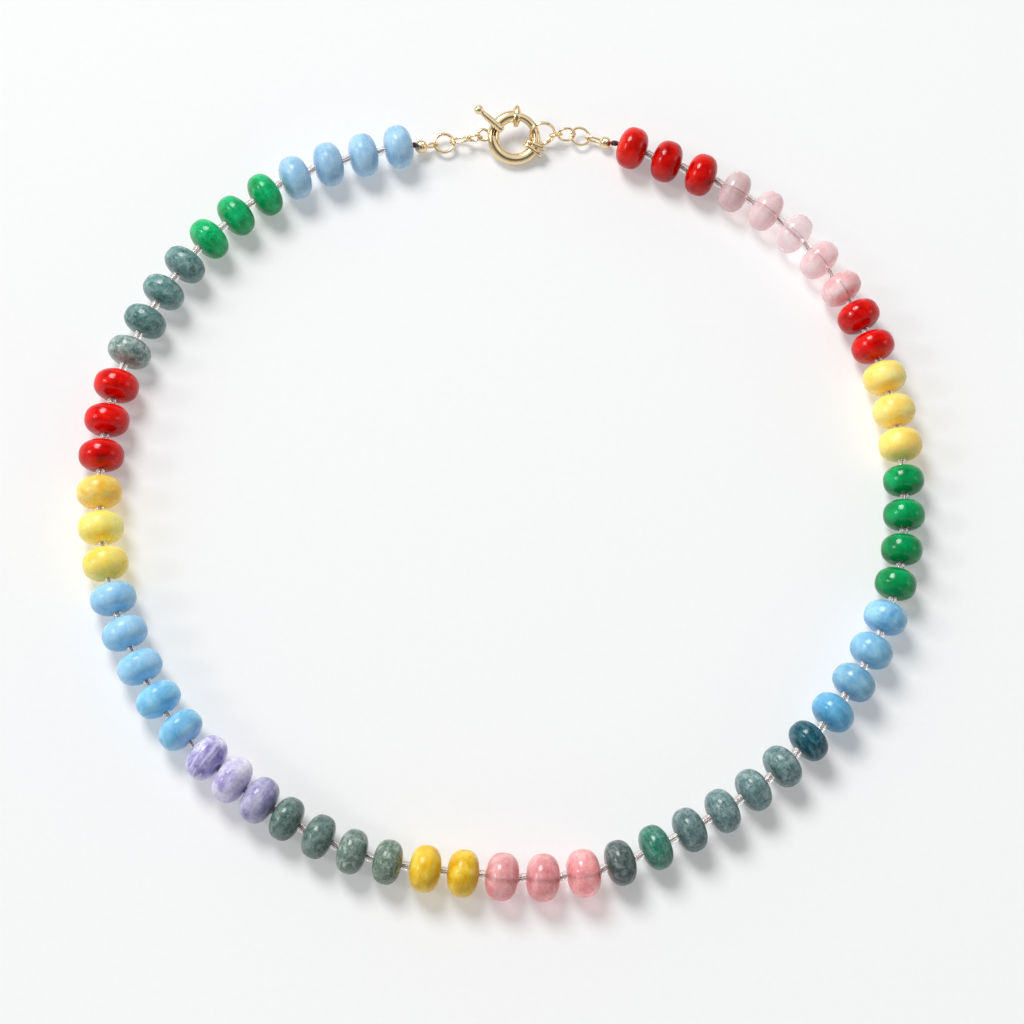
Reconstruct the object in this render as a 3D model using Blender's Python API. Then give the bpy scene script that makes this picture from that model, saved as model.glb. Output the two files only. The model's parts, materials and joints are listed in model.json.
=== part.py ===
"""Beaded necklace, lying flat in a loop with its clasp at the top.

Sixty-two stone rondelles on one thread, with a glass seed bead between every two, are closed by a hollow
spring-ring clasp on two short runs of links. Each half of the string of beads is one fused body. The links
pass through each other, and the clasp's gate slides round inside its hollow ring.

Metres, +Z up. The beads lie on the plane Z = 0, and the clasp is towards +Y.
"""

import math
import random
from collections import namedtuple

import bmesh
import bpy
from mathutils import Matrix, Vector

MM = 0.001

# Beads: a rondelle's diameter and its thickness along the thread
BEAD_DIAMETER = 8.0 * MM
BEAD_THICKNESS = 5.3 * MM
BEAD_SQUARENESS = 2.45
BEAD_SIDES = 12
BEAD_RING_ANGLES = (-64, -38, -13, 13, 38, 64)
BEAD_YAW_SCATTER = 2.0
BEAD_SIZE_SCATTER = 0.012
SCATTER_SEED = 62

# Between the beads
SPACER_LENGTH = 1.4 * MM
SPACER_DIAMETER = 1.6 * MM
THREAD_DIAMETER = 0.7 * MM
THREAD_END_LEFT = 0.65 * MM
THREAD_END_RIGHT = 1.35 * MM
CLEARANCE = 0.3 * MM

# Clasp ring: a hollow tube bent to a ring, open on its right side
RING_RADIUS = 4.15 * MM
TUBE_RADIUS = 1.15 * MM
BORE_RADIUS = 0.98 * MM
RING_TILT = 20
RING_HEIGHT = 2.75 * MM
MOUTH_ANGLE = 84.5
BORE_END_ANGLE = 178
TUBE_SIDES = 12

# Spindle collar at the mouth, and the pair of flanges that the gate's tip closes on
COLLAR_REACH = 2.05 * MM
COLLAR_WIDTH = 0.95 * MM
COLLAR_DEPTH = 1.4 * MM
COLLAR_TAPER = 0.6
FLANGE_ANGLE = -29
FLANGE_REACH = 2.15 * MM
FLANGE_DEPTH = 1.5 * MM
FLANGE_THICKNESS = 0.72 * MM
FLANGE_PITCH = 1.05 * MM

# Soldered eyelet
EYELET_ANGLE = 174.7
EYELET_RADIUS = 1.05 * MM
EYELET_WIRE = 0.28 * MM
SOLDER_DEPTH = 0.35 * MM

# Gate: a rod that slides in the bore, with a trigger that stands through a slot in the tube's upper wall
GATE_RADIUS = 0.78 * MM
GATE_TIP_GAP = 0.2 * MM
GATE_TRAVEL = 22
STEM_ANGLE = 150.6
STEM_RADIUS = 0.2 * MM
STEM_CLEARANCE = 0.15 * MM
TRIGGER_CLEARANCE = 0.2 * MM
TRIGGER_RADIUS = 0.72 * MM
TRIGGER_INNER_RADIUS = 2.64 * MM
TRIGGER_INNER_ANGLE = 158
TRIGGER_BALL_RADIUS = 0.9 * MM
TRIGGER_BALL_ORBIT = 8.6 * MM
TRIGGER_BALL_ANGLE = 144.2

# Wire of the links and of the three jump rings, as radii
LINK_WIRE = 0.25 * MM
RING_WIRE = 0.3 * MM
LINK_PLAY = 0.15 * MM
LINK_SEGMENTS = 14
WIRE_SIDES = 6

# Bead tips: a round knot cover with a hook loop
TIP_SIDES = 10
TIP_BALL_LEFT = 1.3 * MM
TIP_BALL_RIGHT = 1.2 * MM
HOOK_WIDTH = 1.3 * MM
HOOK_LENGTH_LEFT = 3.5 * MM
HOOK_LENGTH_RIGHT = 3.9 * MM

# The loop's course seen from above, in millimetres, chosen by hand. It starts at the clasp's centre and runs
# anticlockwise, and the beads' and links' own lengths set its scale.
ROUTE_POINTS = (
    (2.3, 70.5), (-9.0, 70.0), (-20.0, 67.0), (-39.0, 60.0), (-55.0, 46.5), (-66.0, 29.5), (-72.0, 9.5),
    (-72.0, -11.0), (-67.0, -30.0), (-56.5, -47.5), (-43.5, -59.0), (-27.0, -68.0), (-9.0, -71.5),
    (11.5, -71.5), (30.0, -64.0), (46.5, -53.0), (60.5, -37.5), (69.5, -19.0), (72.5, 1.0), (70.5, 21.0),
    (63.5, 39.5), (49.5, 56.0), (37.5, 63.0), (25.3, 68.0), (18.5, 71.2), (13.0, 72.1), (7.2, 70.8),
)
ROUTE_STEPS = 40

# One row for each run of beads of the same stone, from the clasp's left end round to its right end. width,
# depth and spacing are shares of the bead's diameter, its thickness and the spacer's length. turn is how far
# the run's beads stand askew on the thread, in degrees seen from above.
Run = namedtuple("Run", "stone count width depth spacing turn")
RUNS = (
    Run("powder_blue", 4, 1.03, 1.01, 1.10, -5),
    Run("kelly_green", 3, 1.02, 0.94, 1.40, 0),
    Run("grey_jade", 4, 1.00, 0.92, 1.32, 1),
    Run("red", 3, 1.01, 1.02, 1.04, 4),
    Run("honey", 3, 1.01, 1.06, 0.79, 0),
    Run("sky_blue", 5, 1.00, 1.01, 0.93, 0),
    Run("lilac", 3, 1.03, 1.03, 0.26, 4),
    Run("moss", 4, 0.96, 0.94, 0.88, 3),
    Run("gold_yellow", 2, 1.01, 1.02, 0.75, 0),
    Run("watermelon", 3, 1.02, 1.07, 0.92, -4),
    Run("dark_teal", 7, 0.97, 0.94, 1.25, -4),
    Run("deep_sky", 4, 0.98, 1.02, 1.05, -2),
    Run("emerald", 4, 0.95, 1.02, 0.96, 4),
    Run("pale_honey", 3, 1.00, 1.11, 0.63, -1),
    Run("red", 2, 1.03, 1.03, 0.78, -1),
    Run("rose", 5, 1.00, 1.00, 1.23, 3),
    Run("red", 3, 1.01, 1.07, 1.00, 5),
)
LEFT_BEADS = 31

# The links on each side, counted outwards from the clasp. length and width are between the wire's centres,
# and roll is how far the link stands up from lying flat, in degrees. aside and lift move the link's near end
# towards the loop's outside and up, where it hangs over the gate.
Link = namedtuple("Link", "name length width wire roll aside lift", defaults=(0.0, 0.0))
LINKS_LEFT = (
    Link("chain_link_left_2", 2.8 * MM, 1.9 * MM, LINK_WIRE, 90),
    Link("chain_link_left_1", 4.0 * MM, 2.3 * MM, LINK_WIRE, -40),
    Link("jump_ring_left", 3.7 * MM, 3.7 * MM, RING_WIRE, 6),
)
LINKS_RIGHT = (
    Link("large_jump_ring", 4.75 * MM, 4.75 * MM, RING_WIRE, 64, 0.7 * MM, 0.8 * MM),
    Link("chain_link_right_1", 2.3 * MM, 1.6 * MM, LINK_WIRE, -50),
    Link("chain_link_right_2", 3.3 * MM, 2.5 * MM, LINK_WIRE, 55),
    Link("jump_ring_right", 3.6 * MM, 3.5 * MM, LINK_WIRE, 5),
)

# Height of the links' centre line, from the clasp out to the first bead. place is the share of the way
# outwards. The height is a share of the clasp ring's height plus a share of the bead's radius.
Sag = namedtuple("Sag", "place clasp bead")
SAG = (
    Sag(0.00, 1.02, 0.00),
    Sag(0.33, 0.99, 0.00),
    Sag(0.46, 0.70, 0.00),
    Sag(0.62, 0.50, 0.00),
    Sag(0.76, 0.58, 0.00),
    Sag(0.91, 0.00, 0.84),
    Sag(1.00, 0.00, 1.00),
)

# Colour, roughness and metallic value of each material
FINISHES = {
    "powder_blue": ((0.36, 0.58, 0.82), 0.15, 0.0),
    "kelly_green": ((0.02, 0.38, 0.15), 0.15, 0.0),
    "grey_jade": ((0.12, 0.21, 0.21), 0.20, 0.0),
    "red": ((0.55, 0.01, 0.01), 0.12, 0.0),
    "honey": ((0.85, 0.51, 0.10), 0.18, 0.0),
    "sky_blue": ((0.14, 0.36, 0.63), 0.15, 0.0),
    "lilac": ((0.33, 0.28, 0.58), 0.20, 0.0),
    "moss": ((0.06, 0.13, 0.11), 0.20, 0.0),
    "gold_yellow": ((0.78, 0.47, 0.03), 0.18, 0.0),
    "watermelon": ((0.79, 0.26, 0.29), 0.18, 0.0),
    "dark_teal": ((0.05, 0.12, 0.12), 0.20, 0.0),
    "deep_sky": ((0.07, 0.32, 0.62), 0.15, 0.0),
    "emerald": ((0.00, 0.29, 0.12), 0.15, 0.0),
    "pale_honey": ((0.87, 0.65, 0.22), 0.18, 0.0),
    "rose": ((0.86, 0.53, 0.56), 0.15, 0.0),
    "glass": ((0.80, 0.66, 0.68), 0.10, 0.0),
    "gold": ((0.86, 0.66, 0.36), 0.15, 1.0),
}

Bead = namedtuple("Bead", "stone radius half place yaw")
Ring = namedtuple("Ring", "centre side up half_side half_up")


def clear_scene():
    for obj in list(bpy.data.objects):
        bpy.data.objects.remove(obj, do_unlink=True)


def make_material(name):
    if name in bpy.data.materials:
        return bpy.data.materials[name]
    colour, roughness, metallic = FINISHES[name]
    material = bpy.data.materials.new(name)
    material.use_nodes = True
    shader = material.node_tree.nodes["Principled BSDF"]
    shader.inputs["Base Color"].default_value = (*colour, 1.0)
    shader.inputs["Roughness"].default_value = roughness
    shader.inputs["Metallic"].default_value = metallic
    return material


def add_object(name, mesh, finishes):
    for finish in finishes:
        mesh.materials.append(make_material(finish))
    obj = bpy.data.objects.new(name, mesh)
    bpy.context.scene.collection.objects.link(obj)
    return obj


def smooth_shade(mesh, angle=40):
    mesh.shade_smooth()
    mesh.set_sharp_from_angle(angle=math.radians(angle))


# Lofts: closed solids made by joining rings of points

def ring_points(ring, sides, first=0.0):
    points = []
    for index in range(sides):
        angle = first + 2 * math.pi * index / sides
        across = ring.side * (ring.half_side * math.cos(angle))
        points.append(ring.centre + across + ring.up * (ring.half_up * math.sin(angle)))
    return points


def loft(rings, sides, closed=False, first=0.0, face_slots=None):
    """Join the rings in order; side x up points back along the loft, from one ring to the one before."""
    body = bmesh.new()
    loops = [[body.verts.new(point) for point in ring_points(ring, sides, first)] for ring in rings]
    spans = len(rings) if closed else len(rings) - 1
    for span in range(spans):
        near = loops[span]
        far = loops[(span + 1) % len(rings)]
        for index in range(sides):
            after = (index + 1) % sides
            face = body.faces.new((near[index], near[after], far[after], far[index]))
            if face_slots:
                face.material_index = face_slots[span]
    if not closed:
        body.faces.new(reversed(loops[0]))
        body.faces.new(loops[-1])
    bmesh.ops.recalc_face_normals(body, faces=body.faces)
    mesh = bpy.data.meshes.new("loft")
    body.to_mesh(mesh)
    body.free()
    smooth_shade(mesh)
    return mesh


def round_ring(centre, side, up, radius):
    return Ring(centre, side, up, radius, radius)


def arc_rings(orbit, radius, start, end, segments):
    """Rings of a tube bent round Z, from one angle to another, in degrees."""
    rings = []
    for index in range(segments + 1):
        angle = math.radians(start + (end - start) * index / segments)
        outward = Vector((math.cos(angle), math.sin(angle), 0))
        rings.append(round_ring(outward * orbit, outward, Vector((0, 0, 1)), radius))
    return rings


def oval_mesh(length, width, wire, segments=LINK_SEGMENTS, sides=WIRE_SIDES):
    """A wire link in the XY plane, round or oval, centred on the origin."""
    rings = []
    for index in range(segments):
        angle = 2 * math.pi * index / segments
        centre = Vector((length / 2 * math.cos(angle), width / 2 * math.sin(angle), 0))
        outward = Vector((width * math.cos(angle), length * math.sin(angle), 0)).normalized()
        rings.append(round_ring(centre, outward, Vector((0, 0, 1)), wire))
    return loft(rings, sides, closed=True)


def combine(obj, other, operation):
    """Add a Boolean to obj; the other object stays in the scene as a hidden guide."""
    modifier = obj.modifiers.new(other.name, "BOOLEAN")
    modifier.operation = operation
    modifier.solver = "EXACT"
    modifier.object = other
    other.parent = obj.parent
    other.hide_render = True
    other.display_type = "WIRE"


# The loop's course

class Course:
    """A closed smooth curve through the route's points, scaled to a given length and read by distance."""

    def __init__(self, points, length):
        corners = [Vector((x, y, 0)) for x, y in points]
        dense = []
        count = len(corners)
        slopes = [self.slope(corners, index) for index in range(count)]
        for index in range(count):
            start, end = corners[index], corners[(index + 1) % count]
            span = (end - start).length
            for step in range(ROUTE_STEPS):
                t = step / ROUTE_STEPS
                dense.append(self.hermite(start, end, slopes[index], slopes[(index + 1) % count], span, t))
        dense.append(dense[0].copy())
        drawn = sum((b - a).length for a, b in zip(dense, dense[1:]))
        self.points = [point * (length / drawn) for point in dense]
        self.length = length
        self.marks = [0.0]
        for a, b in zip(self.points, self.points[1:]):
            self.marks.append(self.marks[-1] + (b - a).length)

    @staticmethod
    def slope(corners, index):
        before = corners[index] - corners[index - 1]
        after = corners[(index + 1) % len(corners)] - corners[index]
        weight = before.length / (before.length + after.length)
        return before.normalized().lerp(after.normalized(), weight)

    @staticmethod
    def hermite(start, end, slope_start, slope_end, span, t):
        blend = t * t * (3 - 2 * t)
        point = start.lerp(end, blend)
        point += slope_start * (span * t * (1 - t) ** 2)
        point -= slope_end * (span * t * t * (1 - t))
        return point

    def point(self, distance):
        distance %= self.length
        low, high = 0, len(self.marks) - 1
        while high - low > 1:
            middle = (low + high) // 2
            if self.marks[middle] <= distance:
                low = middle
            else:
                high = middle
        share = (distance - self.marks[low]) / (self.marks[high] - self.marks[low])
        return self.points[low].lerp(self.points[high], share)

    def direction(self, distance):
        reach = BEAD_THICKNESS / 2
        return (self.point(distance + reach) - self.point(distance - reach)).normalized()


# Where everything is along the course, by distance from the clasp's centre

def sag_height(place):
    heights = [row.clasp * RING_HEIGHT + row.bead * BEAD_DIAMETER / 2 for row in SAG]
    for index, (low, high) in enumerate(zip(SAG, SAG[1:])):
        if place <= high.place:
            share = (place - low.place) / (high.place - low.place)
            return heights[index] + (heights[index + 1] - heights[index]) * share
    return heights[-1]


Span = namedtuple("Span", "near far near_height far_height")


def lay_links(links, first_place, first_wire, hook_length, ball_radius, thread_end):
    """Lay the links outwards, each hooked through the last. Gives each one's span and the total reach."""
    run = first_place + sum(link.length for link in links) + hook_length + ball_radius + thread_end
    place = drawn = first_place
    wire_before = first_wire
    spans = []
    rows = [(link.length, link.wire) for link in links] + [(hook_length, LINK_WIRE)]
    for length, wire in rows:
        overlap = wire_before + wire + LINK_PLAY
        near, far = sag_height((drawn - overlap) / run), sag_height((drawn - overlap + length) / run)
        flat = math.sqrt(length ** 2 - (far - near) ** 2)
        place -= overlap
        spans.append(Span(place, place + flat, near, far))
        place += flat
        drawn += length - overlap
        wire_before = wire
    return spans, place + ball_radius + thread_end


def eyelet_far_wire():
    return RING_RADIUS + TUBE_RADIUS - SOLDER_DEPTH + 2 * EYELET_RADIUS


def gate_far_side():
    """Where the big ring's near wire hangs: inside the clasp, past the gate's rod."""
    return RING_RADIUS - GATE_RADIUS + RING_WIRE


def place_beads(start):
    """Every bead in order from the clasp's left end, and the distance where the last one ends."""
    scatter = random.Random(SCATTER_SEED)
    beads = []
    face = start
    for run in RUNS:
        for _ in range(run.count):
            yaw = math.radians(run.turn + scatter.uniform(-BEAD_YAW_SCATTER, BEAD_YAW_SCATTER))
            size = 1 + scatter.uniform(-BEAD_SIZE_SCATTER, BEAD_SIZE_SCATTER)
            radius = BEAD_DIAMETER / 2 * run.width * size
            half = BEAD_THICKNESS / 2 * run.depth
            beads.append(Bead(run.stone, radius, half, face + half, yaw))
            end = face + 2 * half
            face = end + SPACER_LENGTH * run.spacing
    return beads, end


# Strings of beads

def bead_frame(course, bead):
    ahead = Matrix.Rotation(bead.yaw, 3, "Z") @ course.direction(bead.place)
    side = Vector((0, 0, 1)).cross(ahead)
    centre = course.point(bead.place) + Vector((0, 0, bead.radius))
    return centre, ahead, side


def bead_profile(bead):
    """Rings of a rondelle as (distance along its axis, radius), widest where it lies on the table."""
    power = 2 / BEAD_SQUARENESS
    widest = max(math.cos(math.radians(angle)) for angle in BEAD_RING_ANGLES) ** power
    rows = []
    for degrees in BEAD_RING_ANGLES:
        angle = math.radians(degrees)
        along = bead.half * math.copysign(abs(math.sin(angle)) ** power, degrees)
        rows.append((along, bead.radius * math.cos(angle) ** power / widest))
    return rows


def string_rings(course, beads):
    """Rings along a string of beads, and the finish of each band between two rings."""
    up = Vector((0, 0, 1))
    facet_to_corner = 1 / math.cos(math.pi / BEAD_SIDES)
    rings, finishes = [], []
    for bead in beads:
        centre, ahead, side = bead_frame(course, bead)
        rows = [(-bead.half, SPACER_DIAMETER / 2), *bead_profile(bead), (bead.half, SPACER_DIAMETER / 2)]
        for along, radius in rows:
            rings.append(round_ring(centre + ahead * along, side, up, radius * facet_to_corner))
            finishes.append(bead.stone)
        finishes[-1] = "glass"
    return rings, finishes[:-1]


def end_ring(course, bead, sign, reach, radius):
    centre, ahead, side = bead_frame(course, bead)
    return round_ring(centre + ahead * (sign * (bead.half + reach)), side, Vector((0, 0, 1)), radius)


def build_string(name, course, beads, before, after):
    """before and after are the rings that continue the string past its first and its last bead."""
    rings, finishes = string_rings(course, beads)
    rings = before + rings + after
    finishes = ["glass"] * len(before) + finishes + ["glass"] * len(after)
    slots = list(dict.fromkeys(finishes))
    indices = [slots.index(finish) for finish in finishes]
    half_side = math.pi / BEAD_SIDES
    mesh = loft(rings, BEAD_SIDES, first=half_side, face_slots=indices)
    return add_object(name, mesh, slots)


def build_strings(course, beads):
    left, right = beads[:LEFT_BEADS], beads[LEFT_BEADS:]
    thread = THREAD_DIAMETER / 2
    reach = THREAD_END_LEFT - CLEARANCE
    left_end = [end_ring(course, left[0], -1, reach, thread), end_ring(course, left[0], -1, 0, thread)]
    build_string("bead_string_left", course, left, left_end, [])
    between = right[0].place - right[0].half - left[-1].place - left[-1].half
    first_spacer = [end_ring(course, right[0], -1, between - CLEARANCE, SPACER_DIAMETER / 2)]
    reach = THREAD_END_RIGHT - CLEARANCE
    right_end = [end_ring(course, right[-1], 1, 0, thread), end_ring(course, right[-1], 1, reach, thread)]
    build_string("bead_string_right", course, right, first_spacer, right_end)


# Links, rings and bead tips

def link_matrix(near, far, roll):
    """X runs from near to far, Y is level, and then the link rolls about X."""
    ahead = (far - near).normalized()
    level = Vector((0, 0, 1)).cross(ahead).normalized()
    frame = Matrix((ahead, level, ahead.cross(level))).transposed().to_4x4()
    return Matrix.Translation((near + far) / 2) @ frame @ Matrix.Rotation(math.radians(roll), 4, "X")


def ends_of(course, span, sign):
    near = course.point(sign * span.near) + Vector((0, 0, span.near_height))
    far = course.point(sign * span.far) + Vector((0, 0, span.far_height))
    return near, far


def build_links(course, links, spans, sign):
    for link, span in zip(links, spans):
        near, far = ends_of(course, span, sign)
        up = Vector((0, 0, 1))
        outside = course.direction(sign * span.near).cross(up)
        toward_clasp = near + outside * link.aside + up * link.lift - far
        near = far + toward_clasp.normalized() * link.length
        obj = add_object(link.name, oval_mesh(link.length, link.width, link.wire), ["gold"])
        obj.matrix_world = link_matrix(near, far, -link.roll * sign)


def ball_mesh(radius, sides):
    rings = []
    for degrees in (-80, -50, -17, 17, 50, 80):
        angle = math.radians(degrees)
        centre = Vector((radius * math.sin(angle), 0, 0))
        rings.append(round_ring(centre, Vector((0, 1, 0)), Vector((0, 0, 1)), radius * math.cos(angle)))
    return loft(rings, sides)


def build_bead_tip(name, course, span, sign, ball_radius):
    """A ball at the thread's end, with an upright hook loop that reaches to the last ring."""
    near, far = ends_of(course, span, sign)
    tip = add_object(name, ball_mesh(ball_radius, TIP_SIDES), ["gold"])
    frame = link_matrix(near, far, 90)
    frame.translation = far
    tip.matrix_world = frame
    hook_length = (far - near).length
    loop_length = hook_length - ball_radius / 2
    loop = add_object(name + "_hook_guide", oval_mesh(loop_length, HOOK_WIDTH, LINK_WIRE, 12), ["gold"])
    loop.matrix_world = frame @ Matrix.Translation((loop_length / 2 - hook_length, 0, 0))
    combine(tip, loop, "UNION")


# Clasp

def on_ring(orbit, degrees, height=0.0):
    angle = math.radians(degrees)
    return Vector((orbit * math.cos(angle), orbit * math.sin(angle), height))


def as_degrees(arc_length):
    return math.degrees(arc_length / RING_RADIUS)


def disc_rings(angle, thickness, reach, depth):
    """A rounded disc across the clasp's tube, longer along the ring's radius than through its plane."""
    outward = on_ring(1, angle)
    along = on_ring(1, angle + 90)
    centre = outward * RING_RADIUS
    rings = []
    for place, size in ((-0.5, 0.85), (-0.25, 1.0), (0.25, 1.0), (0.5, 0.85)):
        spot = centre + along * (thickness * place)
        rings.append(Ring(spot, outward, Vector((0, 0, 1)), reach * size, depth * size))
    return rings


def spindle_rings():
    """The collar at the mouth: widest at the tube and narrower at both ends, along the ring's radius."""
    outward = on_ring(1, MOUTH_ANGLE)
    along = on_ring(1, MOUTH_ANGLE + 90)
    rings = []
    for place in (-1.0, -0.82, -0.5, 0.0, 0.5, 0.82, 1.0):
        size = 1 - COLLAR_TAPER * place ** 2
        spot = outward * (RING_RADIUS + COLLAR_REACH * place)
        rings.append(Ring(spot, along, Vector((0, 0, 1)), COLLAR_WIDTH * size, COLLAR_DEPTH * size))
    return rings


def box_rings(start, end, segments, half_width, low, high):
    """A bent box that cuts the slot; its four corners come from a ring of four sides."""
    rings = []
    for index in range(segments + 1):
        degrees = start + (end - start) * index / segments
        centre = on_ring(RING_RADIUS, degrees, (low + high) / 2)
        corner = math.sqrt(2)
        half_height = (high - low) / 2
        outward = on_ring(1, degrees)
        rings.append(Ring(centre, outward, Vector((0, 0, 1)), half_width * corner, half_height * corner))
    return rings


def build_clasp_ring(frame):
    flange_step = as_degrees(FLANGE_PITCH / 2)
    tube_end = 360 + FLANGE_ANGLE + flange_step
    tube = arc_rings(RING_RADIUS, TUBE_RADIUS, MOUTH_ANGLE, tube_end, 26)
    ring = add_object("clasp_ring", loft(tube, TUBE_SIDES), ["gold"])
    ring.parent = frame

    collar = add_object("collar_guide", loft(spindle_rings(), TUBE_SIDES), ["gold"])
    combine(ring, collar, "UNION")
    for name, step in (("flange_guide_tip", flange_step), ("flange_guide_back", -flange_step)):
        rings = disc_rings(FLANGE_ANGLE + step, FLANGE_THICKNESS, FLANGE_REACH, FLANGE_DEPTH)
        combine(ring, add_object(name, loft(rings, TUBE_SIDES), ["gold"]), "UNION")

    eyelet_mesh = oval_mesh(2 * EYELET_RADIUS, 2 * EYELET_RADIUS, EYELET_WIRE, 12)
    eyelet = add_object("eyelet_guide", eyelet_mesh, ["gold"])
    eyelet.location = on_ring(eyelet_far_wire() - EYELET_RADIUS, EYELET_ANGLE)
    combine(ring, eyelet, "UNION")

    bore_start = MOUTH_ANGLE - 2 * as_degrees(COLLAR_WIDTH)
    bore = arc_rings(RING_RADIUS, BORE_RADIUS, bore_start, BORE_END_ANGLE, 12)
    combine(ring, add_object("bore_guide", loft(bore, TUBE_SIDES), ["gold"]), "DIFFERENCE")

    margin = as_degrees(STEM_RADIUS + STEM_CLEARANCE)
    slot = box_rings(STEM_ANGLE - margin, STEM_ANGLE + GATE_TRAVEL + margin, 6,
                     STEM_RADIUS + STEM_CLEARANCE, BORE_RADIUS / 2, TUBE_RADIUS * 1.3)
    slot_mesh = loft(slot, 4, first=math.pi / 4)
    combine(ring, add_object("slot_guide", slot_mesh, ["gold"]), "DIFFERENCE")


def trigger_rings():
    """The trigger's bar, from its rounded inner end along to its neck and ball."""
    height = TUBE_RADIUS + TRIGGER_CLEARANCE + TRIGGER_RADIUS
    inner = on_ring(TRIGGER_INNER_RADIUS, TRIGGER_INNER_ANGLE, height)
    ball = on_ring(TRIGGER_BALL_ORBIT, TRIGGER_BALL_ANGLE, height)
    ahead = (ball - inner).normalized()
    length = (ball - inner).length
    side = ahead.cross(Vector((0, 0, 1)))
    rows = [(0.0, 0.5), (0.04, 0.9), (0.10, 1.0), (0.38, 1.0), (0.50, 0.82), (0.78, 0.70)]
    rings = [(length * place, TRIGGER_RADIUS * size) for place, size in rows]
    for degrees in (-52, -26, 0, 26, 52, 78):
        angle = math.radians(degrees)
        rings.append((length + TRIGGER_BALL_RADIUS * math.sin(angle), TRIGGER_BALL_RADIUS * math.cos(angle)))
    return [round_ring(inner + ahead * along, side, Vector((0, 0, 1)), radius) for along, radius in rings]


def build_clasp_gate(frame):
    """The gate's origin is on the ring's axis, which it slides round."""
    tip = FLANGE_ANGLE + as_degrees(FLANGE_PITCH / 2 + FLANGE_THICKNESS / 2 + GATE_TIP_GAP)
    root = STEM_ANGLE + as_degrees(STEM_RADIUS + STEM_CLEARANCE / 2)
    rod = arc_rings(RING_RADIUS, GATE_RADIUS, tip, root, 16)
    gate = add_object("clasp_gate", loft(rod, TIP_SIDES), ["gold"])
    gate.parent = frame
    trigger = add_object("trigger_guide", loft(trigger_rings(), TIP_SIDES), ["gold"])
    combine(gate, trigger, "UNION")
    top = TUBE_RADIUS + TRIGGER_CLEARANCE + TRIGGER_RADIUS
    stem_rings = []
    for height in (0.0, top):
        centre = on_ring(RING_RADIUS, STEM_ANGLE, height)
        stem_rings.append(round_ring(centre, Vector((1, 0, 0)), Vector((0, 1, 0)), STEM_RADIUS))
    combine(gate, add_object("stem_guide", loft(stem_rings, WIRE_SIDES), ["gold"]), "UNION")


def build_clasp(course):
    right = -course.direction(0)
    heading = math.atan2(right.y, right.x)
    frame = bpy.data.objects.new("clasp_axis", None)
    bpy.context.scene.collection.objects.link(frame)
    frame.location = course.point(0) + Vector((0, 0, RING_HEIGHT))
    frame.rotation_euler = (math.radians(RING_TILT), 0, heading)
    build_clasp_ring(frame)
    build_clasp_gate(frame)


def build_necklace():
    clear_scene()
    left_spans, left_reach = lay_links(
        LINKS_LEFT, eyelet_far_wire(), EYELET_WIRE, HOOK_LENGTH_LEFT, TIP_BALL_LEFT, THREAD_END_LEFT)
    right_spans, right_reach = lay_links(
        LINKS_RIGHT, gate_far_side(), RING_WIRE, HOOK_LENGTH_RIGHT, TIP_BALL_RIGHT, THREAD_END_RIGHT)
    beads, beads_end = place_beads(left_reach)
    course = Course(ROUTE_POINTS, beads_end + right_reach)

    build_strings(course, beads)
    build_links(course, LINKS_LEFT, left_spans, 1)
    build_links(course, LINKS_RIGHT, right_spans, -1)
    build_bead_tip("bead_tip_left", course, left_spans[-1], 1, TIP_BALL_LEFT)
    build_bead_tip("bead_tip_right", course, right_spans[-1], -1, TIP_BALL_RIGHT)
    build_clasp(course)
    bpy.context.view_layer.update()


build_necklace()
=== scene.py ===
"""Looks of the beaded necklace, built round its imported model.

Every stone is a smooth drilled rondelle with its own procedural material. Glass seed beads with
a twisted thread inside them lie between the stones, and the clasp, links and bead tips are
polished metal. Metres, +Z up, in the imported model's frame.
"""

import json
import math
import random
from collections import namedtuple

import bmesh
import bpy
from mathutils import Matrix, Vector, noise

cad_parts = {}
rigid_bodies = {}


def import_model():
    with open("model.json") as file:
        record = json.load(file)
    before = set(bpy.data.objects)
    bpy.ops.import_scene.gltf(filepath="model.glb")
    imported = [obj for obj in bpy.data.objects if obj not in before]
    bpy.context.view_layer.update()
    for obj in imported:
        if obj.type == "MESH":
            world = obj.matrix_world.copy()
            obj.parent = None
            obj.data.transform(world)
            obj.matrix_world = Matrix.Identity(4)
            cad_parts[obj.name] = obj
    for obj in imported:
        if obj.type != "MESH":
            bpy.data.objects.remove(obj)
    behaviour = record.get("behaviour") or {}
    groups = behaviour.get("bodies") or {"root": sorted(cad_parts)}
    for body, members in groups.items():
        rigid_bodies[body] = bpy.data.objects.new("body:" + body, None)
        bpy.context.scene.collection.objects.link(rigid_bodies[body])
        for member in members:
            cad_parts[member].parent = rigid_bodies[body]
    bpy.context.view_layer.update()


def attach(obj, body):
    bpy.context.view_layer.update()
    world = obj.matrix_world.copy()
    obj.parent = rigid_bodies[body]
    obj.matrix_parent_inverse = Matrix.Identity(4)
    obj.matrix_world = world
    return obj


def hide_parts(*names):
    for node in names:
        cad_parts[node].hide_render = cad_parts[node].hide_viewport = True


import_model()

MM = 0.001

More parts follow.
